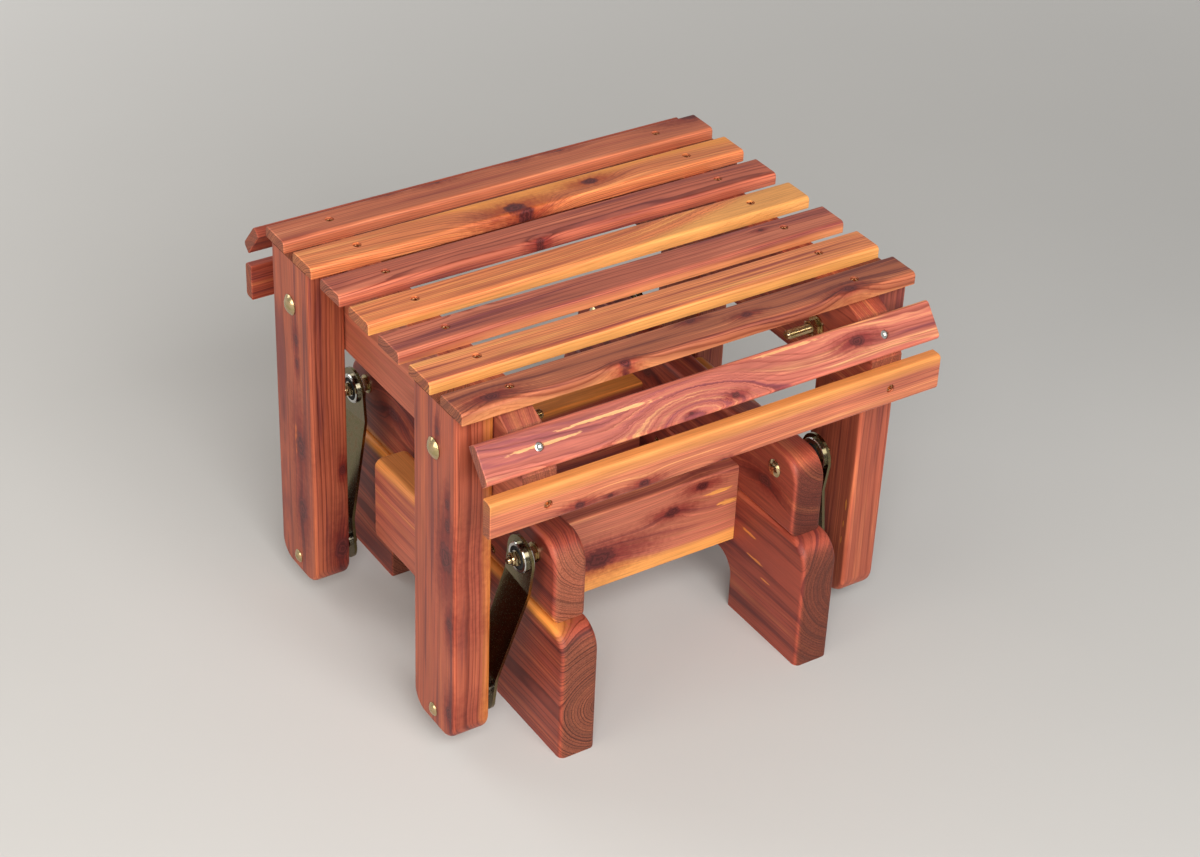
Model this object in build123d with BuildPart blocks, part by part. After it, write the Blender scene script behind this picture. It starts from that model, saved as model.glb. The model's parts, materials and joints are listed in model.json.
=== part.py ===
from build123d import *
from math import asin, atan2, cos, hypot, radians, sin, sqrt, tan
import os

# Glider ottoman in solid cedar. Millimetres, +Z up, +X along the slats, -Y is the front.
# The origin is on the floor, under the middle of the seat.

# ---- boards ---------------------------------------------------------------------------
board_thickness = 38.1
slat_length = 480.0
slat_width = 37.0
slat_thickness = 12.0
top_slat_count = 7
slat_pitch = 54.5
slat_edge_round = 4.5
slat_end_round = 1.2

rail_length = 436.0
rail_width = 92.9
rail_thickness = 34.0
rail_edge_round = 3.0
shoulder_run = 26.0
shoulder_drop = 11.5
bevel_run = 26.7
bevel_drop = 32.2
rear_bevel_run = 27.7
rear_slat_slide = 9.6
apron_slat_drop = 51.0

leg_length = 357.0
leg_width = 75.0
leg_lift = 20.0
leg_centre = 135.0
leg_foot_radius = 22.0
leg_edge_round = 5.0

stretcher_length = 230.0
stretcher_width = 88.9
stretcher_bottom = 80.0
stretcher_centre = 84.5
stretcher_edge_round = 3.0

lower_board_length = 434.8
lower_board_width = 139.7
lower_corner_radius = 27.0
arch_width = 205.0
arch_height = 58.0
arch_corner_radius = 24.0
arch_edge_round = 2.0

upper_board_length = 386.0
upper_board_width = 82.5
upper_board_thickness = 34.0
upper_corner_radius = 28.0
scoop_length = 200.0
scoop_depth = 10.0
base_edge_round = 6.0

block_length = 134.0
block_width = 88.9
block_bottom = 89.5
block_top_round = 9.0
block_edge_round = 3.0

# ---- swing arms and their bearings --------------------------------------------------------
arm_centres = 163.0
arm_head_radius = 21.0
arm_foot_radius = 18.0
arm_thickness = 3.0
arm_bend_radius = 6.0
upper_bend_drop = 30.0
lower_bend_rise = 32.0
top_pivot_y = 158.0
top_pivot_z = 199.0

bearing_width = 9.0
bearing_radius = 15.0
bearing_flange_radius = 17.5
bearing_flange_width = 3.0
bearing_bore_radius = 11.6
bearing_lip_chamfer = 0.8
inner_ring_width = 10.0
inner_ring_radius = 7.5
seal_thickness = 0.8
seal_setback = 0.6

# ---- fasteners ------------------------------------------------------------------------------
top_bolt_radius = 3.97
top_bolt_length = 63.5
top_bolt_head_radius = 9.15
top_bolt_head_height = 4.4
top_nut_flats = 12.7
top_nut_height = 6.8
top_washer_radius = 9.5
top_washer_thickness = 1.6
thrust_washer_radius = 6.6
thrust_washer_thickness = 1.4

low_bolt_radius = 3.175
low_bolt_length = 63.5
low_bolt_head_radius = 6.9
low_bolt_head_height = 3.4
low_nut_flats = 11.1
low_nut_height = 5.6
low_washer_radius = 9.4
low_washer_thickness = 1.6
low_spacer_length = 12.4
low_spacer_radius = 7.0

leg_bolt_radius = 4.76
leg_bolt_length = 108.0
leg_bolt_head_radius = 10.4
leg_bolt_head_height = 5.0
leg_bolt_drop = 49.0
leg_nut_flats = 14.3
leg_nut_height = 8.3
leg_washer_radius = 11.0
leg_washer_thickness = 1.8

slat_screw_radius = 2.1
slat_screw_head_radius = 4.3
slat_screw_inset = 57.15
slat_screw_length = 44.0
slat_screw_sink = 1.2

base_screw_radius = 2.4
base_screw_head_radius = 4.8
base_screw_sink = 0.5
stretcher_screw_length = 76.0
stretcher_screw_inset = 18.0
block_screw_length = 62.0
block_screw_spacing = 70.0
block_screw_drop = 24.0
screw_head_angle = 82.0
screw_tip_length = 5.0

# ---- clearances -----------------------------------------------------------------------------
screw_clearance = 0.05
press_clearance = 0.05
thread_clearance = 0.05
pilot_spare = 1.0
bolt_clearance = 0.3
running_clearance = 0.06
side_clearance = 0.15
seal_gap = 0.3
closure_margin = 1.3

# ---- places that follow from the sizes above ------------------------------------------------
leg_top = leg_lift + leg_length
leg_outer_x = slat_length / 2
leg_inner_x = leg_outer_x - board_thickness
slat_screw_x = leg_outer_x - slat_screw_inset
rail_inner_x = leg_inner_x - rail_thickness
rail_bottom = leg_top - rail_width
rail_end = rail_length / 2
bevel_y = rail_end - bevel_run
bevel_z = leg_top - shoulder_drop
rail_flat = bevel_y - shoulder_run
apron_z = bevel_z - bevel_drop
rear_bevel_y = rail_end - rear_bevel_run
rear_apron_z = leg_top - rear_bevel_run * bevel_drop / bevel_run

base_inner_x = stretcher_length / 2
lower_outer_x = base_inner_x + board_thickness
upper_outer_x = base_inner_x + upper_board_thickness
upper_board_top = lower_board_width + upper_board_width
stretcher_top = stretcher_bottom + stretcher_width
scoop_radius = (scoop_length**2 / 4 + scoop_depth**2) / (2 * scoop_depth)

# The arms lean inwards from the wide top pivots to the legs' centre lines.
arm_offset = top_pivot_y - leg_centre
arm_lean = asin(arm_offset / arm_centres)
low_pivot_z = top_pivot_z - sqrt(arm_centres**2 - arm_offset**2)
leg_bolt_z = leg_top - leg_bolt_drop

top_nut_x = upper_outer_x + top_washer_thickness
thrust_washer_x = top_nut_x + top_nut_height
inner_ring_x = thrust_washer_x + thrust_washer_thickness
outer_nut_x = inner_ring_x + inner_ring_width
arm_top_x = inner_ring_x + inner_ring_width / 2
bearing_x = arm_top_x - arm_thickness / 2 - bearing_flange_width
low_spacer_x = leg_inner_x - low_washer_thickness - low_spacer_length
arm_low_x = low_spacer_x - side_clearance - arm_thickness / 2
low_washer_x = arm_low_x - arm_thickness / 2 - side_clearance - low_washer_thickness

# An arm swings until its edge meets the lower corner of the side block.
block_reach = top_pivot_y - block_length / 2
block_fall = top_pivot_z - block_bottom
block_distance = hypot(block_reach, block_fall)
edge_angle = asin(arm_head_radius / block_distance)
edge_taper = asin((arm_head_radius - arm_foot_radius) / arm_centres)
stop_angle = atan2(block_reach, block_fall) - edge_angle + edge_taper - arm_lean

# The front pivots carry the seat exactly. Tilting in a fixed ratio, the seat's rear bolts
# wander this far towards the front, and the rear arms' lower holes are opened for that.
tilt_ratio = arm_offset / leg_centre
seat_tilt = tilt_ratio * stop_angle
closure = 2 * arm_offset * (1 - cos(stop_angle)) + 2 * leg_centre * (1 - cos(seat_tilt))
rear_hole_radius = low_bolt_radius + closure_margin * closure / 2

sides = {"left": -1, "right": 1}
ends = {"front": -1, "rear": 1}
corners = {f"{end}_{side}": (sides[side], ends[end]) for end in ends for side in sides}

os.makedirs("parts", exist_ok=True)


def facing(side, x, y, z):
    """Plane on one side of the seat, its normal pointing away from the middle."""
    return Plane(origin=(side * x, y, z), x_dir=(0, 1, 0), z_dir=(side, 0, 0))


def inward(side, x, y, z):
    """Plane on one side of the seat, its normal pointing at the middle."""
    return Plane(origin=(side * x, y, z), x_dir=(0, 1, 0), z_dir=(-side, 0, 0))


def at_top_pivots(x):
    return [facing(side, x, end * top_pivot_y, top_pivot_z) for side, end in corners.values()]


def at_low_pivots(x):
    return [facing(side, x, end * leg_centre, low_pivot_z) for side, end in corners.values()]


def at_leg_bolts(x):
    return [facing(side, x, end * leg_centre, leg_bolt_z) for side, end in corners.values()]


def save(part, name):
    part.label = name
    export_step(part, f"parts/{name}.step")


# ---- fasteners and rings, each along +Z with its seat at the origin -------------------------
def carriage_bolt(radius, length, head_radius, head_height):
    """Domed head above the origin and round shank below it."""
    dome = (head_radius**2 + head_height**2) / (2 * head_height)
    with BuildPart() as bolt:
        with BuildSketch(Plane.XZ):
            with BuildLine():
                Polyline((radius, 0), (head_radius, 0))
                RadiusArc((head_radius, 0), (0, head_height), -dome)
                Polyline((0, head_height), (0, -length), (radius, -length), (radius, 0))
            make_face()
        revolve(axis=Axis.Z)
    return bolt.part


def wood_screw(radius, length, head_radius):
    """Flat countersunk head with its top at the origin, shank and point below it."""
    head_height = (head_radius - radius) / tan(radians(screw_head_angle / 2))
    with BuildPart() as screw:
        with BuildSketch(Plane.XZ):
            with BuildLine():
                Polyline(
                    (0, 0),
                    (head_radius, 0),
                    (radius, -head_height),
                    (radius, screw_tip_length - length),
                    (0, -length),
                    close=True,
                )
            make_face()
        revolve(axis=Axis.Z)
    return screw.part


def hex_nut(flats, height, bore):
    with BuildPart() as nut:
        with BuildSketch():
            RegularPolygon(flats / 2, 6, major_radius=False)
            Circle(bore, mode=Mode.SUBTRACT)
        extrude(amount=height)
    return nut.part


def ring(radius, bore, height):
    with BuildPart() as washer:
        with BuildSketch():
            Circle(radius)
            Circle(bore, mode=Mode.SUBTRACT)
        extrude(amount=height)
    return washer.part


def place(piece, planes, name):
    """Write one node that holds the same piece at each plane."""
    with BuildPart() as placed:
        with Locations(*planes):
            add(piece)
    save(placed.part, name)


def sink_screws(planes):
    """Cut countersunk holes whose screw heads sit just under each plane."""
    with Locations(*[plane.offset(-base_screw_sink) for plane in planes]):
        CounterSinkHole(
            base_screw_radius + screw_clearance,
            base_screw_head_radius + screw_clearance,
            counter_sink_angle=screw_head_angle,
        )


# ---- slats ----------------------------------------------------------------------------------
def slat_planes():
    """Plane on the underside of each slat, its normal pointing out of the seat."""
    planes = {}
    for index in range(top_slat_count):
        y = slat_pitch * ((top_slat_count - 1) / 2 - index)
        planes[f"top_slat_{index + 1}"] = Plane(origin=(0, y, leg_top))
    planes["bevel_slat_front"] = Plane(
        origin=(0, -(bevel_y + rail_end) / 2, (bevel_z + apron_z) / 2),
        x_dir=(1, 0, 0),
        z_dir=(0, -bevel_drop, bevel_run),
    )
    bevel_length = hypot(bevel_run, bevel_drop)
    slide_y = rear_slat_slide * bevel_run / bevel_length
    slide_z = rear_slat_slide * bevel_drop / bevel_length
    planes["bevel_slat_rear"] = Plane(
        origin=(0, (rear_bevel_y + rail_end) / 2 + slide_y, (leg_top + rear_apron_z) / 2 - slide_z),
        x_dir=(1, 0, 0),
        z_dir=(0, bevel_drop, bevel_run),
    )
    for name, end in ends.items():
        planes[f"apron_slat_{name}"] = Plane(
            origin=(0, end * rail_end, leg_top - apron_slat_drop - slat_width / 2),
            x_dir=(1, 0, 0),
            z_dir=(0, end, 0),
        )
    return planes


def slat_screw_planes(side):
    """Plane at each slat screw of one rail, on the slat's outer face."""
    screws = []
    for plane in slat_planes().values():
        outer = plane.offset(slat_thickness)
        shift = Vector(side * slat_screw_x, 0, 0)
        screws.append(Plane(outer.origin + shift, outer.x_dir, outer.z_dir))
    return screws


def build_slat(name, plane):
    with BuildPart() as slat:
        with BuildSketch(plane):
            Rectangle(slat_length, slat_width)
        extrude(amount=slat_thickness)
        outward = Axis(plane.origin, plane.z_dir)
        outer_face = slat.faces().sort_by(outward)[-1]
        fillet(outer_face.edges().filter_by(Axis.X), slat_edge_round)
        slat_ends = slat.faces().filter_by(Axis.X)
        fillet(slat_ends.edges(), slat_end_round)
        with Locations(plane.offset(slat_thickness - slat_screw_sink)):
            with GridLocations(2 * slat_screw_x, 0, 2, 1):
                CounterSinkHole(
                    slat_screw_radius + screw_clearance,
                    slat_screw_head_radius + screw_clearance,
                    counter_sink_angle=screw_head_angle,
                )
    save(slat.part, name)


# ---- seat frame -----------------------------------------------------------------------------
def build_rail(name, side):
    """Board that steps down to the front in two bevels and to the rear in one."""
    with BuildPart() as rail:
        with BuildSketch(Plane.YZ.offset(side * rail_inner_x)):
            with BuildLine():
                Polyline(
                    (-rail_flat, leg_top),
                    (-bevel_y, bevel_z),
                    (-rail_end, apron_z),
                    (-rail_end, rail_bottom),
                    (rail_end, rail_bottom),
                    (rail_end, rear_apron_z),
                    (rear_bevel_y, leg_top),
                    close=True,
                )
            make_face()
        extrude(amount=side * rail_thickness)
        bottom_face = rail.faces().sort_by(Axis.Z)[0]
        fillet(bottom_face.edges().filter_by(Axis.Y), rail_edge_round)
        with Locations(*at_leg_bolts(leg_inner_x)):
            Hole(leg_bolt_radius + bolt_clearance, rail_thickness)
        with Locations(*slat_screw_planes(side)):
            Hole(slat_screw_radius + screw_clearance, slat_screw_length + pilot_spare)
    save(rail.part, name)


def build_leg(name, side, end):
    with BuildPart() as leg:
        with BuildSketch(Plane.YZ.offset(side * leg_inner_x)) as outline:
            with Locations((end * leg_centre, leg_lift + leg_length / 2)):
                Rectangle(leg_width, leg_length)
            fillet(outline.vertices().group_by(Axis.Y)[0], leg_foot_radius)
        extrude(amount=side * board_thickness)
        wide_faces = leg.faces().filter_by(Axis.X)
        top_edges = leg.faces().sort_by(Axis.Z)[-1].edges()
        fillet(wide_faces.edges() - top_edges, leg_edge_round)
        with Locations(facing(side, leg_outer_x, end * leg_centre, leg_bolt_z)):
            Hole(leg_bolt_radius + bolt_clearance)
        with Locations(facing(side, leg_outer_x, end * leg_centre, low_pivot_z)):
            Hole(low_bolt_radius + bolt_clearance)
    save(leg.part, name)


# ---- base -----------------------------------------------------------------------------------
def stretcher_screw_planes(side):
    """Plane at each screw that holds the stretchers, on the boards' outer faces."""
    screws = []
    for end in ends.values():
        y = end * stretcher_centre
        low = stretcher_bottom + stretcher_screw_inset
        middle = lower_board_width - stretcher_screw_inset
        high = (lower_board_width + stretcher_top) / 2
        screws.append(facing(side, lower_outer_x, y, low))
        screws.append(facing(side, lower_outer_x, y, middle))
        screws.append(facing(side, upper_outer_x, y, high))
    return screws


def block_screw_planes(side):
    """Plane at each screw that holds a side block, on the lower board's inner face."""
    z = lower_board_width - block_screw_drop
    offset = block_screw_spacing / 2
    return [inward(side, base_inner_x, y, z) for y in (-offset, offset)]


def wide_face_edges(board):
    """Edges round a board's two wide faces, without the ones on the floor."""
    edges = board.faces().filter_by(Axis.X).edges()
    return edges.filter_by(lambda edge: edge.center().Z > 0)


def in_arch(edge):
    """Whether an edge is nearer to the arch than to the board's outline."""
    middle = edge.center()
    beside = abs(middle.Y) < (arch_width + lower_board_length) / 4
    below = middle.Z < (arch_height + lower_board_width) / 2
    return beside and below


def build_lower_board(name, side):
    with BuildPart() as board:
        with BuildSketch(Plane.YZ.offset(side * base_inner_x)) as outline:
            with Locations((0, lower_board_width / 2)):
                Rectangle(lower_board_length, lower_board_width)
            fillet(outline.vertices().group_by(Axis.Y)[-1], lower_corner_radius)
            RectangleRounded(
                arch_width, 2 * arch_height, arch_corner_radius, mode=Mode.SUBTRACT
            )
        extrude(amount=side * board_thickness)
        edges = wide_face_edges(board)
        fillet(edges - edges.filter_by(in_arch), base_edge_round)
        fillet(wide_face_edges(board).filter_by(in_arch), arch_edge_round)
        sink_screws(stretcher_screw_planes(side) + block_screw_planes(side))
    save(board.part, name)


def build_upper_board(name, side):
    with BuildPart() as board:
        with BuildSketch(Plane.YZ.offset(side * base_inner_x)) as outline:
            with Locations((0, upper_board_top - upper_board_width / 2)):
                Rectangle(upper_board_length, upper_board_width)
            fillet(outline.vertices().group_by(Axis.Y)[-1], upper_corner_radius)
            with Locations((0, upper_board_top - scoop_depth + scoop_radius)):
                Circle(scoop_radius, mode=Mode.SUBTRACT)
        extrude(amount=side * upper_board_thickness)
        fillet(board.faces().filter_by(Axis.X).edges(), base_edge_round)
        sink_screws(stretcher_screw_planes(side))
        with Locations(*at_top_pivots(upper_outer_x)):
            Hole(top_bolt_radius + bolt_clearance, upper_board_thickness)
    save(board.part, name)


def build_stretcher(name, end):
    with BuildPart() as stretcher:
        with BuildSketch(Plane.YZ):
            with Locations((end * stretcher_centre, stretcher_top - stretcher_width / 2)):
                Rectangle(board_thickness, stretcher_width)
        extrude(amount=stretcher_length / 2, both=True)
        fillet(stretcher.edges().filter_by(Axis.X), stretcher_edge_round)
        for side in sides.values():
            with Locations(*stretcher_screw_planes(side)):
                Hole(base_screw_radius + screw_clearance, stretcher_screw_length + pilot_spare)
    save(stretcher.part, name)


def build_side_block(name, side):
    with BuildPart() as block:
        with BuildSketch(Plane.YZ.offset(side * lower_outer_x)):
            with Locations((0, block_bottom + block_width / 2)):
                Rectangle(block_length, block_width)
        extrude(amount=side * board_thickness)
        fillet(block.edges().filter_by(Axis.Y).group_by(Axis.Z)[-1], block_top_round)
        fillet(block.edges().filter_by(Axis.Y).group_by(Axis.Z)[0], block_edge_round)
        fillet(block.faces().filter_by(Axis.Y).edges(), block_edge_round)
        with Locations(*block_screw_planes(side)):
            Hole(base_screw_radius + screw_clearance, block_screw_length + pilot_spare)
    save(block.part, name)


# ---- swing arms -----------------------------------------------------------------------------
def build_arm(name, side, end):
    """Flat strap with two bends that step it out from the base to the leg."""
    edge_plane = Plane(
        origin=(0, end * top_pivot_y, top_pivot_z),
        x_dir=(side, 0, 0),
        z_dir=(0, -side * cos(arm_lean), side * end * sin(arm_lean)),
    )
    low_centre = (-end * arm_offset, side * (low_pivot_z - top_pivot_z))
    front = end == ends["front"]
    low_hole = low_bolt_radius + running_clearance if front else rear_hole_radius
    low_shift = 0 if front else -closure / 2
    with BuildPart() as arm:
        with BuildSketch(edge_plane):
            with BuildLine():
                FilletPolyline(
                    (arm_top_x, 2 * arm_head_radius),
                    (arm_top_x, -upper_bend_drop),
                    (arm_low_x, lower_bend_rise - arm_centres),
                    (arm_low_x, -2 * arm_foot_radius - arm_centres),
                    radius=arm_bend_radius,
                )
            trace(line_width=arm_thickness)
        extrude(amount=2 * arm_head_radius, both=True)
        with BuildSketch(facing(side, 0, end * top_pivot_y, top_pivot_z)):
            Circle(arm_head_radius)
            with Locations(low_centre):
                Circle(arm_foot_radius)
            make_hull()
        extrude(amount=leg_inner_x, mode=Mode.INTERSECT)
        with Locations(facing(side, arm_top_x, end * top_pivot_y, top_pivot_z)):
            Hole(bearing_radius + press_clearance)
        with Locations(facing(side, arm_low_x, end * leg_centre + low_shift, low_pivot_z)):
            Hole(low_hole)
    save(arm.part, name)


def build_bearing(corner, side, end):
    """Flanged outer ring pressed into the arm, and the two seals that close it."""
    plane = facing(side, bearing_x, end * top_pivot_y, top_pivot_z)
    with BuildPart() as outer:
        with BuildSketch(plane):
            Circle(bearing_radius)
            Circle(bearing_bore_radius, mode=Mode.SUBTRACT)
        extrude(amount=bearing_width)
        with BuildSketch(plane):
            Circle(bearing_flange_radius)
            Circle(bearing_bore_radius, mode=Mode.SUBTRACT)
        extrude(amount=bearing_flange_width)
        for rim in outer.faces().filter_by(Axis.X).sort_by(Axis.X)[:: 2]:
            chamfer(rim.outer_wire().edges(), bearing_lip_chamfer)
    save(outer.part, f"bearing_outer_ring_{corner}")

    seal_radius = bearing_bore_radius - press_clearance
    seal_bore = inner_ring_radius + seal_gap
    inboard = plane.offset(seal_setback)
    outboard = plane.offset(bearing_width - seal_setback - seal_thickness)
    place(ring(seal_radius, seal_bore, seal_thickness), [inboard, outboard], f"bearing_seals_{corner}")


# ---- every piece ----------------------------------------------------------------------------
for slat_name, slat_plane in slat_planes().items():
    build_slat(slat_name, slat_plane)

for side_name, side in sides.items():
    build_rail(f"seat_rail_{side_name}", side)
    build_lower_board(f"base_lower_board_{side_name}", side)
    build_upper_board(f"base_upper_board_{side_name}", side)
    build_side_block(f"side_block_{side_name}", side)

for end_name, end in ends.items():
    build_stretcher(f"{end_name}_stretcher", end)

for corner, (side, end) in corners.items():
    build_leg(f"leg_{corner}", side, end)
    build_arm(f"swing_arm_{corner}", side, end)
    build_bearing(corner, side, end)

# The top pivots, from the bolt head on the base's inner face outwards.
top_bolt_bore = top_bolt_radius + thread_clearance
place(
    carriage_bolt(top_bolt_radius, top_bolt_length, top_bolt_head_radius, top_bolt_head_height),
    [plane.rotated((0, 180, 0)) for plane in at_top_pivots(base_inner_x)],
    "top_pivot_bolts",
)
place(
    ring(top_washer_radius, top_bolt_bore, top_washer_thickness),
    at_top_pivots(upper_outer_x),
    "top_pivot_washers",
)
top_nut = hex_nut(top_nut_flats, top_nut_height, top_bolt_bore)
place(top_nut, at_top_pivots(top_nut_x), "top_pivot_spacer_nuts")
place(
    ring(thrust_washer_radius, top_bolt_bore, thrust_washer_thickness),
    at_top_pivots(thrust_washer_x),
    "top_pivot_thrust_washers",
)
place(
    ring(inner_ring_radius, top_bolt_bore, inner_ring_width),
    at_top_pivots(inner_ring_x),
    "bearing_inner_rings",
)
place(top_nut, at_top_pivots(outer_nut_x), "top_pivot_lock_nuts")

# The lower pivots, from the bolt head on the leg's outer face inwards.
low_bolt_bore = low_bolt_radius + thread_clearance
low_washer = ring(low_washer_radius, low_bolt_bore, low_washer_thickness)
place(
    carriage_bolt(low_bolt_radius, low_bolt_length, low_bolt_head_radius, low_bolt_head_height),
    at_low_pivots(leg_outer_x),
    "lower_pivot_bolts",
)
place(
    low_washer,
    at_low_pivots(leg_inner_x - low_washer_thickness) + at_low_pivots(low_washer_x),
    "lower_pivot_washers",
)
place(
    ring(low_spacer_radius, low_bolt_bore, low_spacer_length),
    at_low_pivots(low_spacer_x),
    "lower_pivot_spacers",
)
place(
    hex_nut(low_nut_flats, low_nut_height, low_bolt_bore),
    at_low_pivots(low_washer_x - low_nut_height),
    "lower_pivot_nuts",
)

# The bolts that hold the legs to the seat rails.
leg_bolt_bore = leg_bolt_radius + thread_clearance
leg_washer_x = rail_inner_x - leg_washer_thickness
place(
    carriage_bolt(leg_bolt_radius, leg_bolt_length, leg_bolt_head_radius, leg_bolt_head_height),
    at_leg_bolts(leg_outer_x),
    "leg_bolts",
)
place(
    ring(leg_washer_radius, leg_bolt_bore, leg_washer_thickness),
    at_leg_bolts(leg_washer_x),
    "leg_bolt_washers",
)
place(
    hex_nut(leg_nut_flats, leg_nut_height, leg_bolt_bore),
    at_leg_bolts(leg_washer_x - leg_nut_height),
    "leg_bolt_nuts",
)

# Wood screws, each sunk a little below its board's face.
slat_screws = []
stretcher_screws = []
block_screws = []
for side in sides.values():
    slat_screws += [plane.offset(-slat_screw_sink) for plane in slat_screw_planes(side)]
    stretcher_screws += [plane.offset(-base_screw_sink) for plane in stretcher_screw_planes(side)]
    block_screws += [plane.offset(-base_screw_sink) for plane in block_screw_planes(side)]
place(
    wood_screw(slat_screw_radius, slat_screw_length, slat_screw_head_radius),
    slat_screws,
    "slat_screws",
)
place(
    wood_screw(base_screw_radius, stretcher_screw_length, base_screw_head_radius),
    stretcher_screws,
    "stretcher_screws",
)
place(
    wood_screw(base_screw_radius, block_screw_length, base_screw_head_radius),
    block_screws,
    "side_block_screws",
)
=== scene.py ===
"""Finishes, fine hardware and studio for the glider ottoman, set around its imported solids."""

import json
from math import atan2, cos, floor, pi, radians, sin, tan

import bpy
from mathutils import Matrix, Vector


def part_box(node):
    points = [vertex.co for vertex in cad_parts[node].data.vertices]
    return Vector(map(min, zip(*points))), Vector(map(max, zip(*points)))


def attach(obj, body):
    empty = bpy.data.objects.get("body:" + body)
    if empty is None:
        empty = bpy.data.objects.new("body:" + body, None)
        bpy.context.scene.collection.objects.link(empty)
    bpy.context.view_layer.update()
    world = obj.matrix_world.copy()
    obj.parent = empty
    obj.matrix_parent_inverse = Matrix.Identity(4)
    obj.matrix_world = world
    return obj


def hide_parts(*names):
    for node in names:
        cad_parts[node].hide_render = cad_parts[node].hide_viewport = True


bl_info = {
    "name": "Glider ottoman looks",
    "version": (1, 0, 0),
    "blender": (4, 5, 0),
    "location": "3D View > Sidebar > Ottoman",
    "description": "Oiled cedar, plated hardware and a plain studio for a glider ottoman",
    "category": "Object",
}

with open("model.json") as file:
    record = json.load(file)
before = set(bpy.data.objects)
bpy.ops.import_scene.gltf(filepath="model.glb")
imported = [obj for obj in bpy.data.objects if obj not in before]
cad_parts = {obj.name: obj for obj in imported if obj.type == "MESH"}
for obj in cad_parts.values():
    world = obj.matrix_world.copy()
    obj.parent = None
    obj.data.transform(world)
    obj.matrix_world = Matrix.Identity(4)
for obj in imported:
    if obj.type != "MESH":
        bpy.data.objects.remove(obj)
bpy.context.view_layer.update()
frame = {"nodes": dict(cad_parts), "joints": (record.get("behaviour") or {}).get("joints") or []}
nodes = frame["nodes"]

MM = 0.001

# The bevel at the rails' ends, in millimetres
BEVEL_DROP = 32.2
BEVEL_RUN = 26.7
BEVEL_TILT = atan2(BEVEL_DROP, BEVEL_RUN)

# The side and the end of each leg and swing arm, where -1 is the left or the front
SEAT_CORNERS = [(-1, -1), (1, -1), (-1, 1), (1, 1)]


def linear(red, green, blue):
    """Scene colour of a screen colour whose channels run from 0 to 255."""
    channels = []
    for value in (red, green, blue):
        share = value / 255
        low = share / 12.92
        high = ((share + 0.055) / 1.055) ** 2.4
        channels.append(low if share <= 0.04045 else high)
    return tuple(channels)


def opaque(colour):
    return (*colour[:3], 1.0)


def scaled(colour, shares):
    """A colour whose channels are each multiplied by a share."""
    return tuple(channel * share for channel, share in zip(colour, shares))


# ---- settings -------------------------------------------------------------------------------
class CedarSettings(bpy.types.PropertyGroup):
    """Looks of the oiled cedar"""

    brightness: bpy.props.FloatProperty(
        name="Brightness", description="Lightness of all the cedar",
        default=1.0, min=0.2, max=2.0,
    )
    ring_width: bpy.props.FloatProperty(
        name="Ring width", description="Distance between growth rings in millimetres",
        default=2.2, min=0.5, max=10.0,
    )
    # Painted highlight: how much paler the slats' narrow faces are painted, standing in for the
    # light they catch
    worn_edges: bpy.props.FloatProperty(
        name="Worn edges", description="How much paler the slats' narrow faces are",
        default=0.5, min=0.0, max=1.0,
    )
    knot: bpy.props.FloatVectorProperty(
        name="Knots", description="Colour of the knots' hearts",
        subtype="COLOR", default=linear(96, 36, 34), min=0.0, max=1.0,
    )
    end_grain: bpy.props.FloatVectorProperty(
        name="End grain", description="Colour that the oiled end grain turns to",
        subtype="COLOR", default=linear(140, 84, 60), min=0.0, max=1.0,
    )
    gloss: bpy.props.FloatProperty(
        name="Oil gloss", description="Weight of the oil's clear film",
        default=0.06, min=0.0, max=1.0,
    )
    roughness: bpy.props.FloatProperty(
        name="Roughness", description="Roughness of the oiled faces",
        default=0.5, min=0.0, max=1.0,
    )


class HardwareSettings(bpy.types.PropertyGroup):
    """Looks and fine sizes of the hardware"""

    zinc: bpy.props.FloatVectorProperty(
        name="Yellow zinc", description="Colour of the plated bolts, nuts and washers",
        subtype="COLOR", default=linear(190, 168, 130), min=0.0, max=1.0,
    )
    strap: bpy.props.FloatVectorProperty(
        name="Swing arms", description="Colour of the arms' plating",
        subtype="COLOR", default=linear(118, 106, 76), min=0.0, max=1.0,
    )
    bronze: bpy.props.FloatVectorProperty(
        name="Screw bronze", description="Colour of the slats' screws",
        subtype="COLOR", default=linear(176, 122, 84), min=0.0, max=1.0,
    )
    steel: bpy.props.FloatVectorProperty(
        name="Bearing steel", description="Colour of the bearing rings and spacers",
        subtype="COLOR", default=linear(205, 204, 200), min=0.0, max=1.0,
    )
    thread_pitch: bpy.props.FloatProperty(
        name="Bolt thread pitch", description="Distance between the turns of a bolt's thread",
        unit="LENGTH", default=1.35 * MM, min=0.3 * MM, max=5 * MM,
    )
    screw_pitch: bpy.props.FloatProperty(
        name="Screw thread pitch",
        description="Distance between the turns of a wood screw's thread",
        unit="LENGTH", default=3.2 * MM, min=0.5 * MM, max=6 * MM,
    )


class StudioSettings(bpy.types.PropertyGroup):
    """Floor and lamps"""

    floor: bpy.props.FloatVectorProperty(
        name="Floor", description="Colour of the floor",
        subtype="COLOR", default=linear(202, 200, 196), min=0.0, max=1.0,
    )
    key_power: bpy.props.FloatProperty(
        name="Key lamp", description="Power of the large front lamp", default=126.0, unit="POWER"
    )
    side_power: bpy.props.FloatProperty(
        name="Side lamp", description="Power of the lamp on the left", default=48.0, unit="POWER"
    )
    back_power: bpy.props.FloatProperty(
        name="Back lamp", description="Power of the lamp behind", default=24.0, unit="POWER"
    )
    sky: bpy.props.FloatProperty(
        name="Sky", description="Strength of the even light from all round", default=0.16, min=0.0
    )
    backdrop: bpy.props.FloatProperty(
        name="Backdrop", description="Paleness of the far floor and what is beyond",
        default=0.5, min=0.0,
    )


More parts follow.
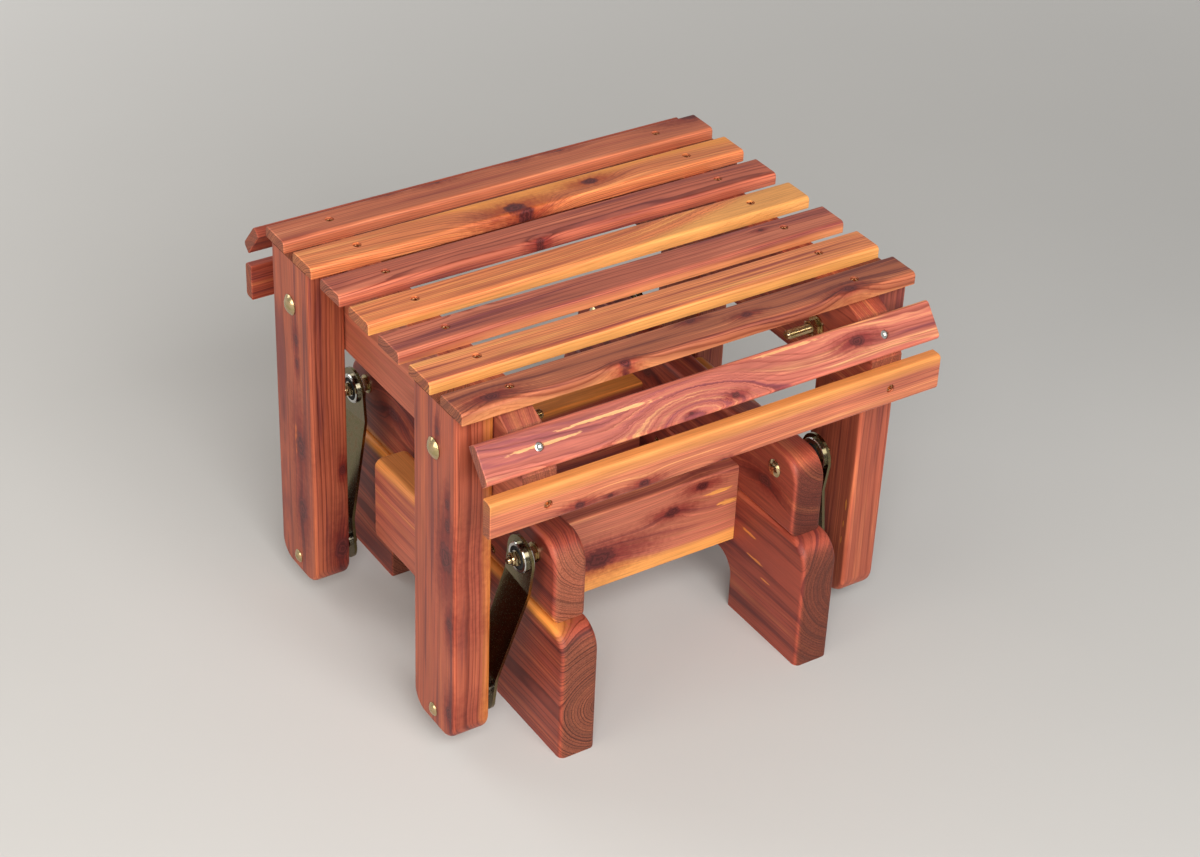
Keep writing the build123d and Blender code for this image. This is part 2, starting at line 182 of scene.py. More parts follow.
# ---- shader trees ---------------------------------------------------------------------------
class Graph:
    """A node tree, with a short call for each kind of node that the finishes use."""

    def __init__(self, tree):
        self.tree = tree

    def feed(self, socket, value):
        if isinstance(value, bpy.types.NodeSocket):
            self.tree.links.new(value, socket)
        elif value is not None:
            socket.default_value = value

    def node(self, kind, *values, **settings):
        node = self.tree.nodes.new(kind)
        for key, value in settings.items():
            setattr(node, key, value)
        for socket, value in zip(node.inputs, values):
            self.feed(socket, value)
        return node

    def math(self, operation, *values):
        return self.node("ShaderNodeMath", *values, operation=operation).outputs[0]

    def vector(self, operation, *values):
        node = self.node("ShaderNodeVectorMath", *values, operation=operation)
        number = operation in ("LENGTH", "DISTANCE", "DOT_PRODUCT")
        return node.outputs["Value" if number else "Vector"]

    def step(self, value, low, high, start=0.0, end=1.0):
        node = self.node("ShaderNodeMapRange", value, low, high, start, end)
        node.interpolation_type = "SMOOTHSTEP"
        return node.outputs[0]

    def noise(self, place, detail=2.0, roughness=0.5, scale=1.0):
        node = self.node("ShaderNodeTexNoise", place)
        node.inputs["Scale"].default_value = scale
        node.inputs["Detail"].default_value = detail
        node.inputs["Roughness"].default_value = roughness
        return node.outputs[0]

    def centred(self, value, gain):
        """A value from 0 to 1, moved to run evenly round zero and made larger."""
        return self.math("MULTIPLY", self.math("SUBTRACT", value, 0.5), gain)

    def times(self, first, second):
        return self.math("MULTIPLY", first, second)

    def plus(self, first, second):
        return self.math("ADD", first, second)

    def larger(self, first, second):
        return self.math("MAXIMUM", first, second)

    def mix(self, share, first, second, blend="MIX"):
        node = self.node("ShaderNodeMix", share, data_type="RGBA", blend_type=blend)
        self.feed(node.inputs[6], opaque(first) if isinstance(first, tuple) else first)
        self.feed(node.inputs[7], opaque(second) if isinstance(second, tuple) else second)
        return node.outputs[2]

    def tint(self, colour, by):
        return self.mix(1.0, colour, by, "MULTIPLY")

    def mark(self, share, colour, by):
        """A colour that is tinted as far as the share goes."""
        return self.mix(share, colour, self.tint(colour, by))

    def blend(self, share, first, second):
        node = self.node("ShaderNodeMix", share, data_type="FLOAT")
        self.feed(node.inputs[2], first)
        self.feed(node.inputs[3], second)
        return node.outputs[0]

    def group(self, tree, **values):
        node = self.tree.nodes.new("ShaderNodeGroup")
        node.node_tree = tree
        for name, value in values.items():
            label = name.replace("_", " ")
            if isinstance(value, tuple) and node.inputs[label].type == "RGBA":
                value = opaque(value)
            self.feed(node.inputs[label], value)
        return node.outputs

    def give(self, gives, **values):
        """Feed a group's outputs, each by its name."""
        for name, value in values.items():
            self.feed(gives[name], value)

    def relief(self, shader, height, strength, distance):
        """Let a height show as fine relief on a material."""
        bump = self.node("ShaderNodeBump")
        bump.inputs["Strength"].default_value = strength
        bump.inputs["Distance"].default_value = distance
        self.feed(bump.inputs["Height"], height)
        self.feed(shader.inputs["Normal"], bump.outputs[0])


KINDS = {"number": "NodeSocketFloat", "vector": "NodeSocketVector", "colour": "NodeSocketColor"}


def new_group(name, takes, gives):
    """Start a node group from its sockets' names, which are listed by kind.

    Returns its graph, what it takes, and what it gives.
    """
    tree = bpy.data.node_groups.new(name, "ShaderNodeTree")
    for way, sockets in (("INPUT", takes), ("OUTPUT", gives)):
        for kind, labels in sockets.items():
            for label in labels.split(", "):
                tree.interface.new_socket(label, in_out=way, socket_type=KINDS[kind])
    source = tree.nodes.new("NodeGroupInput")
    target = tree.nodes.new("NodeGroupOutput")
    return Graph(tree), source.outputs, target.inputs


def once(name, build):
    """The node group of that name, built the first time that it is asked for."""
    return bpy.data.node_groups.get(name) or build(name)


# How far the noises move from one seed to the next
SEED_STEP = (137.3, 71.9, 53.1)

# How quickly each noise changes along a board and in both ways across it, per millimetre
SLOW_WAVES = (0.004, 0.016, 0.016)
QUICK_WAVES = (0.018, 0.08, 0.08)
FIBRES = (0.022, 0.8, 0.8)
SPLINTERS = (0.09, 0.5, 0.5)
PATCHES = (0.012, 0.03, 0.03)

# How far a knot's heart, its stain and the bent rings round it draw out along the grain
HEART_DRAW = 0.62
STAIN_DRAW = 0.3
SWELL_DRAW = 0.42

# What each mark on the wood multiplies its colour by
LATEWOOD_TINT = (0.46, 0.3, 0.28)
SAP_RING_TINT = (0.8, 0.66, 0.52)
STAIN_TINT = (0.42, 0.13, 0.19)
HEART_TINT = (0.5, 0.4, 0.4)
# Painted highlight on rounded edges and the slats' narrow faces, standing in for the light they
# catch
EDGE_HIGHLIGHT_TINT = (1.4, 1.38, 1.26)
PORE_TINT = (0.6, 0.54, 0.5)
SAWN_RING_TINT = (0.34, 0.25, 0.25)

# How widely the colour varies from ring to ring, fibre to fibre and patch to patch
TONE_SPREAD = 0.24
FIBRE_SPREAD = 0.8
PATCH_SPREAD = 0.4


def build_rings(name):
    """Growth rings round a log's pith, with its streaks and fibres."""
    graph, takes, gives = new_group(
        name,
        {"vector": "Position, Pith", "number": "Seed, Ring Width, Waviness, Lean, Shift"},
        {"number": "Radius, Latewood, Tone, Streak, Fibre"},
    )
    seed, waviness = takes["Seed"], takes["Waviness"]
    spot = graph.vector("MULTIPLY_ADD", SEED_STEP, seed, takes["Position"])

    def drawn_out(pace, detail):
        return graph.noise(graph.vector("MULTIPLY", spot, pace), detail)

    length = graph.vector("DOT_PRODUCT", takes["Position"], (1.0, 0.0, 0.0))
    slow = graph.centred(drawn_out(SLOW_WAVES, 1.0), waviness)
    quick = graph.centred(drawn_out(QUICK_WAVES, 2.0), graph.times(waviness, 0.14))
    offset = graph.vector("SUBTRACT", takes["Position"], takes["Pith"])
    distance = graph.vector("LENGTH", graph.vector("MULTIPLY", offset, (0.0, 1.0, 1.0)))
    radius = graph.plus(graph.plus(distance, graph.plus(slow, quick)), takes["Shift"])
    radius = graph.math("MULTIPLY_ADD", length, takes["Lean"], radius)
    uneven = graph.noise(graph.math("MULTIPLY_ADD", radius, 0.11, seed), 1.0)
    phase = graph.math("DIVIDE", radius, takes["Ring Width"])
    phase = graph.math("MULTIPLY_ADD", uneven, 3.0, phase)
    ring = graph.math("FRACT", phase)
    rise = graph.step(ring, 0.5, 0.92)
    fall = graph.step(ring, 0.94, 1.0, 1.0, 0.0)
    number = graph.plus(graph.math("FLOOR", phase), seed)
    tone = graph.node("ShaderNodeTexWhiteNoise", None, number, noise_dimensions="1D")
    lane = (graph.times(length, 0.0028), graph.times(radius, 0.13), graph.times(seed, 7.3))
    graph.give(
        gives,
        Radius=radius,
        Latewood=graph.times(rise, fall),
        Tone=tone.outputs["Value"],
        Streak=graph.noise(graph.node("ShaderNodeCombineXYZ", *lane).outputs[0], 5.0, 0.6),
        Fibre=drawn_out(FIBRES, 4.0),
    )
    return graph.tree


def build_knot(name):
    """One knot: its heart, the stain round it, and how far it pushes the rings aside."""
    graph, takes, gives = new_group(
        name,
        {"vector": "Position, Centre, Reach", "number": "Size, Push, Swell"},
        {"number": "Heart, Stain, Shift, Rings"},
    )
    offset = graph.vector("SUBTRACT", takes["Position"], takes["Centre"])
    offset = graph.vector("MULTIPLY", offset, takes["Reach"])
    wobble = graph.centred(graph.noise(takes["Position"], 3.0, 0.6, 0.2), 0.9)

    def spread(draw, size, gain):
        """Distance from the knot as a share of a size."""
        flat = graph.vector("MULTIPLY", offset, (draw, 1.0, 1.0))
        share = graph.math("DIVIDE", graph.vector("LENGTH", flat), size)
        return graph.plus(share, graph.times(wobble, gain))

    near = spread(HEART_DRAW, takes["Size"], 1.0)
    wide = spread(STAIN_DRAW, takes["Size"], 1.8)
    far = spread(SWELL_DRAW, takes["Swell"], 0.2)
    bump = graph.math("EXPONENT", graph.times(graph.times(far, far), -1.0))
    graph.give(
        gives,
        Heart=graph.step(near, 0.6, 1.1, 1.0, 0.0),
        Stain=graph.step(wide, 0.3, 2.6, 1.0, 0.0),
        Shift=graph.times(bump, takes["Push"]),
        Rings=graph.math("SINE", graph.times(near, 17.0)),
    )
    return graph.tree


def build_fleck(name):
    """A pale splinter of sapwood, grown into the heartwood along the grain."""
    graph, takes, gives = new_group(
        name, {"vector": "Position, Centre, Reach"}, {"number": "Mask"}
    )
    offset = graph.vector("SUBTRACT", takes["Position"], takes["Centre"])
    share = graph.vector("LENGTH", graph.vector("MULTIPLY", offset, takes["Reach"]))
    rough = graph.noise(graph.vector("MULTIPLY", takes["Position"], SPLINTERS), 3.0)
    share = graph.plus(share, graph.centred(rough, 1.6))
    graph.give(gives, Mask=graph.step(share, 0.65, 1.0, 1.0, 0.0))
    return graph.tree


def build_faces(name):
    """Which part of a board a point is on: a sawn end, or a rounded edge or narrow face that gets
    a painted highlight.
    """
    graph, takes, gives = new_group(
        name,
        {"vector": "Normal, Along, Across, Depth", "number": "Worn Edges"},
        {"number": "End, Rounding"},
    )
    shares = []
    for label in ("Along", "Across", "Depth"):
        facing_it = graph.vector("DOT_PRODUCT", takes["Normal"], takes[label])
        shares.append(graph.math("ABSOLUTE", facing_it))
    along, across, depth = shares
    largest = graph.larger(along, graph.larger(across, depth))
    # Where the painted highlight goes: the rounded edges, and the narrow faces by their own share
    rounding = graph.step(largest, 0.8, 0.99, 1.0, 0.0)
    narrow = graph.times(graph.step(across, 0.85, 1.0), takes["Worn Edges"])
    graph.give(
        gives, End=graph.step(along, 0.55, 0.9), Rounding=graph.larger(rounding, narrow)
    )
    return graph.tree


def build_cedar(name):
    """Colour, roughness and relief of oiled cedar from its rings, knots and faces."""
    graph, takes, gives = new_group(
        name,
        {
            "vector": "Position",
            "number": "Radius, Latewood, Tone, Streak, Fibre, Knot, Stain, Knot Rings, Fleck, "
            "End, Rounding, Sap Start, Contrast, Roughness, Brightness",
            "colour": "Heartwood, Dark Streaks, Pale Streaks, Sapwood, Knots, End Grain",
        },
        {"colour": "Colour", "number": "Roughness, Relief"},
    )
    place, end = takes["Position"], takes["End"]
    streak, fibre = takes["Streak"], takes["Fibre"]

    wood = graph.mix(graph.step(streak, 0.5, 0.64), takes["Heartwood"], takes["Dark Streaks"])
    wood = graph.mix(graph.step(streak, 0.46, 0.32), wood, takes["Pale Streaks"])
    wood = graph.tint(wood, graph.plus(graph.centred(takes["Tone"], TONE_SPREAD), 1.0))
    late = graph.times(takes["Latewood"], takes["Contrast"])
    late = graph.times(late, graph.step(takes["Tone"], -0.4, 1.0, 0.3, 1.5))
    wood = graph.mark(late, wood, LATEWOOD_TINT)

    edge = graph.plus(takes["Sap Start"], graph.centred(streak, 9.0))
    edge = graph.plus(edge, graph.centred(fibre, 5.0))
    after = graph.math("SUBTRACT", takes["Radius"], edge)
    sap = graph.mark(graph.times(late, 0.7), takes["Sapwood"], SAP_RING_TINT)
    wood = graph.mix(graph.larger(graph.step(after, -3.5, 4.5), takes["Fleck"]), wood, sap)

    wood = graph.mark(graph.times(takes["Stain"], 0.9), wood, STAIN_TINT)
    knot = graph.mark(graph.step(takes["Knot Rings"], -1.0, 1.0), takes["Knots"], HEART_TINT)
    wood = graph.mix(takes["Knot"], wood, knot)

    wood = graph.tint(wood, graph.plus(graph.centred(fibre, FIBRE_SPREAD), 1.0))
    patch = graph.noise(graph.vector("MULTIPLY", place, PATCHES), 3.0)
    wood = graph.tint(wood, graph.plus(graph.centred(patch, PATCH_SPREAD), takes["Brightness"]))
    # Painted highlight: rounded edges and narrow faces made paler, standing in for the light they
    # catch
    wood = graph.mark(graph.times(takes["Rounding"], 0.85), wood, EDGE_HIGHLIGHT_TINT)

    pores = graph.step(graph.noise(place, 3.0, 0.7, 0.9), 0.35, 0.62)
    sawn = graph.mix(0.58, wood, takes["End Grain"])
    sawn = graph.mix(pores, graph.tint(sawn, PORE_TINT), sawn)
    sawn = graph.mark(graph.times(late, 0.9), sawn, SAWN_RING_TINT)

    dull = graph.math("MULTIPLY_ADD", end, 0.25, takes["Roughness"])
    dull = graph.plus(dull, graph.centred(fibre, 0.16))
    relief = graph.math("MULTIPLY_ADD", late, 0.05, graph.times(fibre, 0.06))
    relief = graph.plus(relief, graph.times(graph.times(pores, end), 0.16))
    relief = graph.math("SUBTRACT", relief, graph.times(takes["Knot"], 0.12))
    graph.give(
        gives,
        Colour=graph.mix(end, wood, sawn),
        Roughness=graph.math("MULTIPLY_ADD", late, -0.06, dull),
        Relief=relief,
    )
    return graph.tree


def build_scuffs(name):
    """Fine scratches and handling marks on plated or turned metal."""
    graph, takes, gives = new_group(
        name, {"vector": "Position", "number": "Size"}, {"number": "Scratches, Clouds"}
    )
    place = graph.vector("MULTIPLY", takes["Position"], takes["Size"])
    lines = graph.noise(graph.vector("MULTIPLY", place, (9.0, 1.4, 2.2)), 4.0, 0.7, 2.0)
    graph.give(
        gives, Scratches=graph.step(lines, 0.52, 0.72), Clouds=graph.noise(place, 3.0, 0.6, 1.0)
    )
    return graph.tree


def new_material(name):
    """An empty material; returns it, its graph and its shader."""
    material = bpy.data.materials.new(name)
    material.use_nodes = True
    graph = Graph(material.node_tree)
    return material, graph, material.node_tree.nodes["Principled BSDF"]


def own_position(graph):
    """Where a point is on the piece, in millimetres of the object's frame."""
    place = graph.node("ShaderNodeTexCoord")
    return graph.vector("MULTIPLY", place.outputs["Object"], (1000.0, 1000.0, 1000.0)), place


# ---- cedar ----------------------------------------------------------------------------------
# Colours on a screen, with channels from 0 to 255
HONEY = (236, 168, 84)
AMBER = (214, 134, 62)
RUST = (178, 90, 58)
BRICK = (158, 68, 50)
WINE = (112, 44, 40)

# What the oil multiplies a board's own colours by, which makes them more golden
OIL_TINT = (1.03, 1.2, 1.14)

# A distance from the pith that lies past every board, so that no sapwood shows
NEVER = 900.0

# How far apart two boards' seeds are
SEED_GAP = 1.37


class Board:
    """How a board lies in its log, and the marks that show on it, in millimetres.

    A knot has its place along the board and to its side, its size, how far it pushes the
    rings and how widely, and "edge" if it shows on the narrow faces. A fleck has its place,
    length and width.
    """

    def __init__(
        self, heart, dark, pale, sap=HONEY, pith=(18, -42), sap_start=NEVER, wave=16.0,
        lean=0.0, contrast=0.5, rings=1.0, end=1.0, knots=(), flecks=(),
    ):
        self.colours = {
            "Heartwood": scaled(linear(*heart), OIL_TINT),
            "Dark_Streaks": scaled(linear(*dark), OIL_TINT),
            "Pale_Streaks": scaled(linear(*pale), OIL_TINT),
            "Sapwood": linear(*sap),
        }
        self.pith = pith
        self.sap_start = sap_start
        self.wave = wave
        self.lean = lean
        self.contrast = contrast
        self.rings = rings
        self.end = end
        self.knots = knots
        self.flecks = flecks


def lying(along, depth):
    """A board's three directions: along its grain, across its face, and out of its face."""
    along = Vector(along)
    depth = Vector(depth).normalized()
    return along, depth.cross(along), depth


UPRIGHT = lying((0, 0, 1), (1, 0, 0))
TO_THE_REAR = lying((0, 1, 0), (1, 0, 0))
SIDEWAYS = lying((1, 0, 0), (0, -1, 0))


def joined(graph, operation, values):
    """All the values under one operation, or None where there are none."""
    total = None
    for value in values:
        total = value if total is None else graph.math(operation, total, value)
    return total


def knot_marks(graph, board, spot):
    """What a board's knots do to its wood, as inputs of the rings and of the cedar."""
    knots = []
    for at_along, at_side, size, *style in board.knots:
        edge = "edge" in style
        push, swell = style[:2] if len(style) > 1 else (1.6 * size, 2.2 * size)
        knots.append(
            graph.group(
                once("cedar knot", build_knot),
                Position=spot,
                Centre=(at_along, 0.0, at_side) if edge else (at_along, at_side, 0.0),
                Reach=(1.0, 0.0, 1.0) if edge else (1.0, 1.0, 0.0),
                Size=float(size),
                Push=float(push),
                Swell=float(swell),
            )
        )
    shift = joined(graph, "ADD", [knot["Shift"] for knot in knots])
    return shift, {
        "Knot": joined(graph, "MAXIMUM", [knot["Heart"] for knot in knots]),
        "Stain": joined(graph, "MAXIMUM", [knot["Stain"] for knot in knots]),
        "Knot_Rings": joined(
            graph, "ADD", [graph.times(knot["Rings"], knot["Heart"]) for knot in knots]
        ),
    }


def fleck_marks(graph, board, spot):
    masks = []
    for at_along, at_side, length, width in board.flecks:
        fleck = graph.group(
            once("cedar fleck", build_fleck),
            Position=spot,
            Centre=(at_along, at_side, 0.0),
            Reach=(2 / length, 2 / width, 0.0),
        )
        masks.append(fleck["Mask"])
    return joined(graph, "MAXIMUM", masks)


def cedar_material(name, board, directions, centre, seed, worn):
    settings = bpy.context.scene.ottoman_cedar
    material, graph, shader = new_material(f"cedar_{name}")
    along, across, depth = directions
    millimetres, place = own_position(graph)
    local = graph.node("ShaderNodeMapping", millimetres, vector_type="TEXTURE")
    local.inputs["Location"].default_value = centre / MM
    local.inputs["Rotation"].default_value = Matrix(directions).transposed().to_euler()
    spot = local.outputs[0]
    shift, knots = knot_marks(graph, board, spot)
    rings = graph.group(
        once("cedar rings", build_rings),
        Position=spot,
        Seed=float(seed),
        Pith=(0.0, *board.pith),
        Ring_Width=settings.ring_width * board.rings,
        Waviness=board.wave,
        Lean=board.lean,
        Shift=shift,
    )
    faces = graph.group(
        once("board faces", build_faces),
        Normal=place.outputs["Normal"],
        Along=tuple(along),
        Across=tuple(across),
        Depth=tuple(depth),
        # Share of painted highlight on the narrow faces
        Worn_Edges=worn,
    )
    wood = graph.group(
        once("oiled cedar", build_cedar),
        Position=spot,
        Fleck=fleck_marks(graph, board, spot),
        Sap_Start=board.sap_start,
        Contrast=board.contrast,
        Knots=tuple(settings.knot),
        End_Grain=scaled(settings.end_grain, [board.end] * 3),
        Roughness=settings.roughness,
        Brightness=settings.brightness,
        **{label: rings[label] for label in ("Radius", "Latewood", "Tone", "Streak", "Fibre")},
        **{label: faces[label] for label in ("End", "Rounding")},
        **knots,
        **board.colours,
    )
    graph.relief(shader, wood["Relief"], 0.8, MM)
    graph.feed(shader.inputs["Base Color"], wood["Colour"])
    graph.feed(shader.inputs["Roughness"], wood["Roughness"])
    shader.inputs["Coat Weight"].default_value = settings.gloss
    shader.inputs["Coat Roughness"].default_value = 0.28
    shader.inputs["IOR"].default_value = 1.37
    return material


def finish_boards(boards, first_seed, directions_of, worn=0.0):
    """Give each board a material from its own seed."""
    for seed, (name, board) in enumerate(boards.items(), first_seed):
        low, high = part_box(name)
        centre = (low + high) / 2
        material = cedar_material(
            name, board, directions_of(name), centre, seed * SEED_GAP, worn
        )
        give_material(nodes[name], material)


def board_centre(name):
    """A slat's own middle, the way out of its face, and half its thickness."""
    directions = slat_directions(name)
    thing = nodes[name]
    points = [thing.matrix_world @ vertex.co for vertex in thing.data.vertices]
    centre = Vector()
    for way in directions:
        reach = [point.dot(way) for point in points]
        centre += way * (min(reach) + max(reach)) / 2
    return centre, directions[2], (max(reach) - min(reach)) / 2


def give_material(thing, material):
    thing.data.materials.clear()
    thing.data.materials.append(material)


def slat_boards():
    """The slats from the rear to the front. A positive side is the rear or the upper edge."""
    return {
        "top_slat_1": Board(
            (176, 92, 66), (152, 70, 54), (196, 112, 82), pith=(-30, -26),
            contrast=0.45, wave=8,
            knots=[(-112, 18, 4), (-62, 18, 5.5), (30, 18, 4.5), (78, 18, 5), (236, 17, 10)],
        ),
        "top_slat_2": Board(
            (200, 108, 68), (172, 84, 56), (224, 138, 86), (222, 142, 72),
            pith=(-26, -30), sap_start=50, wave=14, lean=0.02,
            knots=[(-20, -10, 9), (-12, -19, 6), (71, 1, 6)],
        ),
        "top_slat_3": Board(
            (172, 85, 66), (128, 54, 52), (204, 110, 84), pith=(-14, -24), wave=9,
            contrast=0.7, knots=[(-30, -18, 3, 2, 6)],
        ),
        "top_slat_4": Board(
            (206, 112, 70), (172, 84, 58), (228, 142, 84), (214, 148, 84),
            pith=(31, 30), sap_start=55, wave=7, contrast=0.5, lean=0.014,
            knots=[(246, 2, 0.5, 30, 58)],
        ),
        "top_slat_5": Board(
            (170, 86, 68), (124, 54, 54), (196, 106, 82), (208, 134, 88),
            pith=(24, 34), sap_start=55, wave=9, contrast=0.7, knots=[(-150, 19, 3), (160, 6, 2)],
        ),
        "top_slat_6": Board(
            (212, 120, 78), (148, 66, 54), (234, 152, 90), (214, 150, 84),
            pith=(28, 28), sap_start=50.5, wave=7, contrast=0.6,
        ),
        "top_slat_7": Board(
            (160, 84, 60), (106, 46, 40), (204, 118, 82), (210, 140, 92),
            pith=(30, 20), sap_start=56, wave=12, contrast=0.6,
            knots=[(-205, -6, 6.5), (-77, -16, 4), (10, 12, 3.4), (60, -3, 4), (168, -11, 5.5)],
        ),
        "bevel_slat_front": Board(
            (178, 90, 76), (128, 56, 62), (222, 148, 104), (226, 166, 112),
            pith=(36, -34), wave=30, contrast=0.5, rings=1.6, lean=-0.03,
            knots=[(-34, -13, 1.5, 32, 23), (14, -10, 3, 6, 12), (152, 2, 5.5, 4, 8)],
            flecks=[(-176, 1, 80, 3.4), (-112, 8, 110, 3.4), (84, 15, 80, 3)],
        ),
        "apron_slat_front": Board(
            (194, 105, 76), (164, 82, 64), (214, 134, 90), (202, 130, 72),
            pith=(-26, 6), sap_start=35, wave=7, contrast=0.4,
            knots=[(-151, -12, 4), (-84.5, -12, 4.2), (0, -18, 3.4), (-120, -13, 2)],
        ),
        "bevel_slat_rear": Board(BRICK, WINE, RUST, pith=(20, -40), wave=20, knots=[(40, 4, 5)]),
        "apron_slat_rear": Board(BRICK, WINE, RUST, pith=(-24, -34), wave=18, knots=[(-90, 2, 4)]),
    }


def slat_directions(name):
    turn = {"top": 0.0, "bevel": BEVEL_TILT, "apron": pi / 2}[name.split("_")[0]]
    end = -1 if name.endswith("front") else 1
    return lying((1, 0, 0), (0, end * sin(turn), cos(turn)))


def leg_boards():
    """The legs. A positive side is towards the front."""
    return {
        "leg_front_left": Board(
            (158, 73, 52), (116, 50, 44), (180, 90, 60), AMBER,
            pith=(-34, -34), sap_start=85, wave=5, contrast=0.6,
            knots=[
                (26, 21, 11, 4, 12), (-44, 28, 6, 2, 7), (-146, 28, 6, 2, 7), (62, 24, 5, 1, 5),
                (84, 23, 4, 1, 5), (150, 6, 3.4),
            ],
        ),
        "leg_rear_left": Board(
            (158, 74, 52), (112, 48, 44), (178, 90, 58), AMBER,
            pith=(-24, -46), wave=6, contrast=0.65,
            knots=[
                (-23, 12, 11, 4, 12), (-97, 12, 10, 4, 12), (96, 9, 5, 1, 5), (70, 10, 4, 1, 5),
                (-45, 12, 4, 2, 7, "edge"), (-139, 10, 9, 3, 12, "edge"),
            ],
            flecks=[(-19, 3, 40, 5)],
        ),
        "leg_front_right": Board(
            (166, 78, 58), (122, 50, 46), (192, 100, 70), AMBER, pith=(-30, 30),
            wave=5, contrast=0.5, flecks=[(-70, 30, 16, 3), (-92, 29, 8, 2), (-112, 28, 10, 2)],
        ),
        "leg_rear_right": Board(
            (166, 78, 58), (126, 52, 48), (188, 100, 70), AMBER, pith=(28, 34),
            wave=10, sap_start=88, knots=[(70, -8, 4), (-30, 14, 3)],
        ),
    }


def frame_boards():
    """The rails, base boards and blocks, whose grain runs to the rear, with up as across."""
    return {
        "seat_rail_left": Board(
            (166, 84, 64), (138, 62, 52), (188, 108, 72), AMBER, pith=(14, 60),
            wave=10, contrast=0.4, knots=[(-60, -20, 4)],
        ),
        "seat_rail_right": Board(
            (160, 68, 50), WINE, (190, 100, 66), AMBER, pith=(18, -56), wave=14,
            knots=[(50, 12, 5)],
        ),
        "base_lower_board_left": Board(
            (136, 56, 42), (100, 38, 34), (162, 78, 54), AMBER, pith=(-20, 22),
            sap_start=92, wave=8, rings=1.5, contrast=0.8, knots=[(90, 10, 8)],
        ),
        "base_lower_board_right": Board(
            (144, 60, 46), (104, 38, 36), (170, 84, 58), AMBER, pith=(20, 44),
            wave=10, rings=1.4, contrast=0.35, knots=[(60, 30, 7)], end=0.45,
            flecks=[(-141, 10, 34, 3), (-128, 34, 26, 3.5), (-160, -4, 20, 2)],
        ),
        "base_upper_board_left": Board(
            (142, 58, 44), (100, 38, 36), (172, 84, 58), AMBER, pith=(30, 24),
            sap_start=76, wave=10, rings=1.3, contrast=0.75, knots=[(105, 12, 7), (-20, 8, 6)],
            end=1.7,
        ),
        "base_upper_board_right": Board(
            (146, 60, 46), (106, 38, 36), (174, 86, 60), AMBER, pith=(50, 26),
            wave=10, rings=1.3, contrast=0.35, knots=[(-145, -4, 7.5), (60, 4, 6)], end=0.1,
        ),
        "side_block_left": Board(
            (172, 86, 66), (138, 62, 56), (198, 118, 74), (200, 128, 70),
            pith=(-40, -44), sap_start=83, wave=16, contrast=0.4,
            knots=[(-24, 6, 6, 3, 10, "edge")],
        ),
        "side_block_right": Board(
            (178, 88, 62), (140, 60, 50), (208, 122, 74), AMBER, pith=(-30, 40),
            sap_start=78, wave=18, contrast=0.4, knots=[(20, 6, 5)],
        ),
    }


def stretcher_boards():
    """The stretchers, with up as across."""
    return {
        "front_stretcher": Board(
            (190, 102, 80), (160, 78, 68), (212, 132, 94), (234, 158, 84),
            pith=(62, -10), sap_start=94, wave=16, contrast=0.35,
            knots=[(-43, -9, 13, 9, 22), (39, 16, 6), (73, 35, 5)],
            flecks=[(92, 22, 34, 5), (104, 6, 26, 7)],
        ),
        "rear_stretcher": Board(
            (156, 68, 52), WINE, (186, 98, 68), AMBER, pith=(-50, 20), sap_start=88,
            wave=16, knots=[(-30, 10, 6), (64, -14, 5)],
        ),
    }


# ---- metal ----------------------------------------------------------------------------------
def scuffed(name, size, wear, gain, base):
    """A material whose roughness rises from a base with one kind of handling mark."""
    material, graph, shader = new_material(name)
    spot, _ = own_position(graph)
    marks = graph.group(once("metal scuffs", build_scuffs), Position=spot, Size=size)
    graph.feed(shader.inputs["Roughness"], graph.math("MULTIPLY_ADD", marks[wear], gain, base))
    return material, graph, shader, marks


def plated(name, colour):
    """Zinc plate: gold, with a faint green and pink bloom, and handling marks."""
    material, graph, shader, marks = scuffed(name, 0.16, "Scratches", 0.16, 0.2)
    gold = tuple(colour)
    green = scaled(gold, (0.86, 0.92, 0.78))
    pink = scaled(gold, (1.04, 0.86, 0.76))
    bloom = graph.mix(graph.step(marks["Clouds"], 0.38, 0.5), green, gold)
    bloom = graph.mix(graph.step(marks["Clouds"], 0.52, 0.68), bloom, pink)
    shade = graph.math("MULTIPLY_ADD", marks["Scratches"], -0.22, 1.0)
    graph.feed(shader.inputs["Base Color"], graph.tint(bloom, shade))
    graph.relief(shader, marks["Scratches"], 0.1, 0.05 * MM)
    shader.inputs["Metallic"].default_value = 1.0
    return material


def zinc_plate(name):
    """Yellow zinc plate of the bolts, nuts and washers."""
    return plated(name, bpy.context.scene.ottoman_hardware.zinc)


def arm_plate(name):
    """Deeper olive plate of the swing arms."""
    return plated(name, bpy.context.scene.ottoman_hardware.strap)


def bearing_steel(name):
    """Ground bearing steel with faint turning marks."""
    material, graph, shader, marks = scuffed(name, 0.4, "Scratches", 0.14, 0.12)
    steel = tuple(bpy.context.scene.ottoman_hardware.steel)
    smoked = scaled(steel, (0.7, 0.7, 0.7))
    graph.feed(shader.inputs["Base Color"], graph.mix(marks["Clouds"], smoked, steel))
    shader.inputs["Metallic"].default_value = 1.0
    return material


def seal_rubber(name):
    """Black moulded rubber with a dusting of grease and lint."""
    material, graph, shader, marks = scuffed(name, 0.5, "Clouds", 0.3, 0.3)
    dust = graph.step(marks["Clouds"], 0.45, 0.75)
    colour = graph.mix(dust, linear(22, 22, 22), linear(52, 48, 44))
    graph.feed(shader.inputs["Base Color"], colour)
    return material


def nut_nylon(name):
    """The nylon ring of a lock nut."""
    material, graph, shader, marks = scuffed(name, 0.6, "Clouds", 0.2, 0.35)
    colour = graph.mix(marks["Clouds"], linear(60, 74, 112), linear(96, 112, 150))
    graph.feed(shader.inputs["Base Color"], colour)
    return material


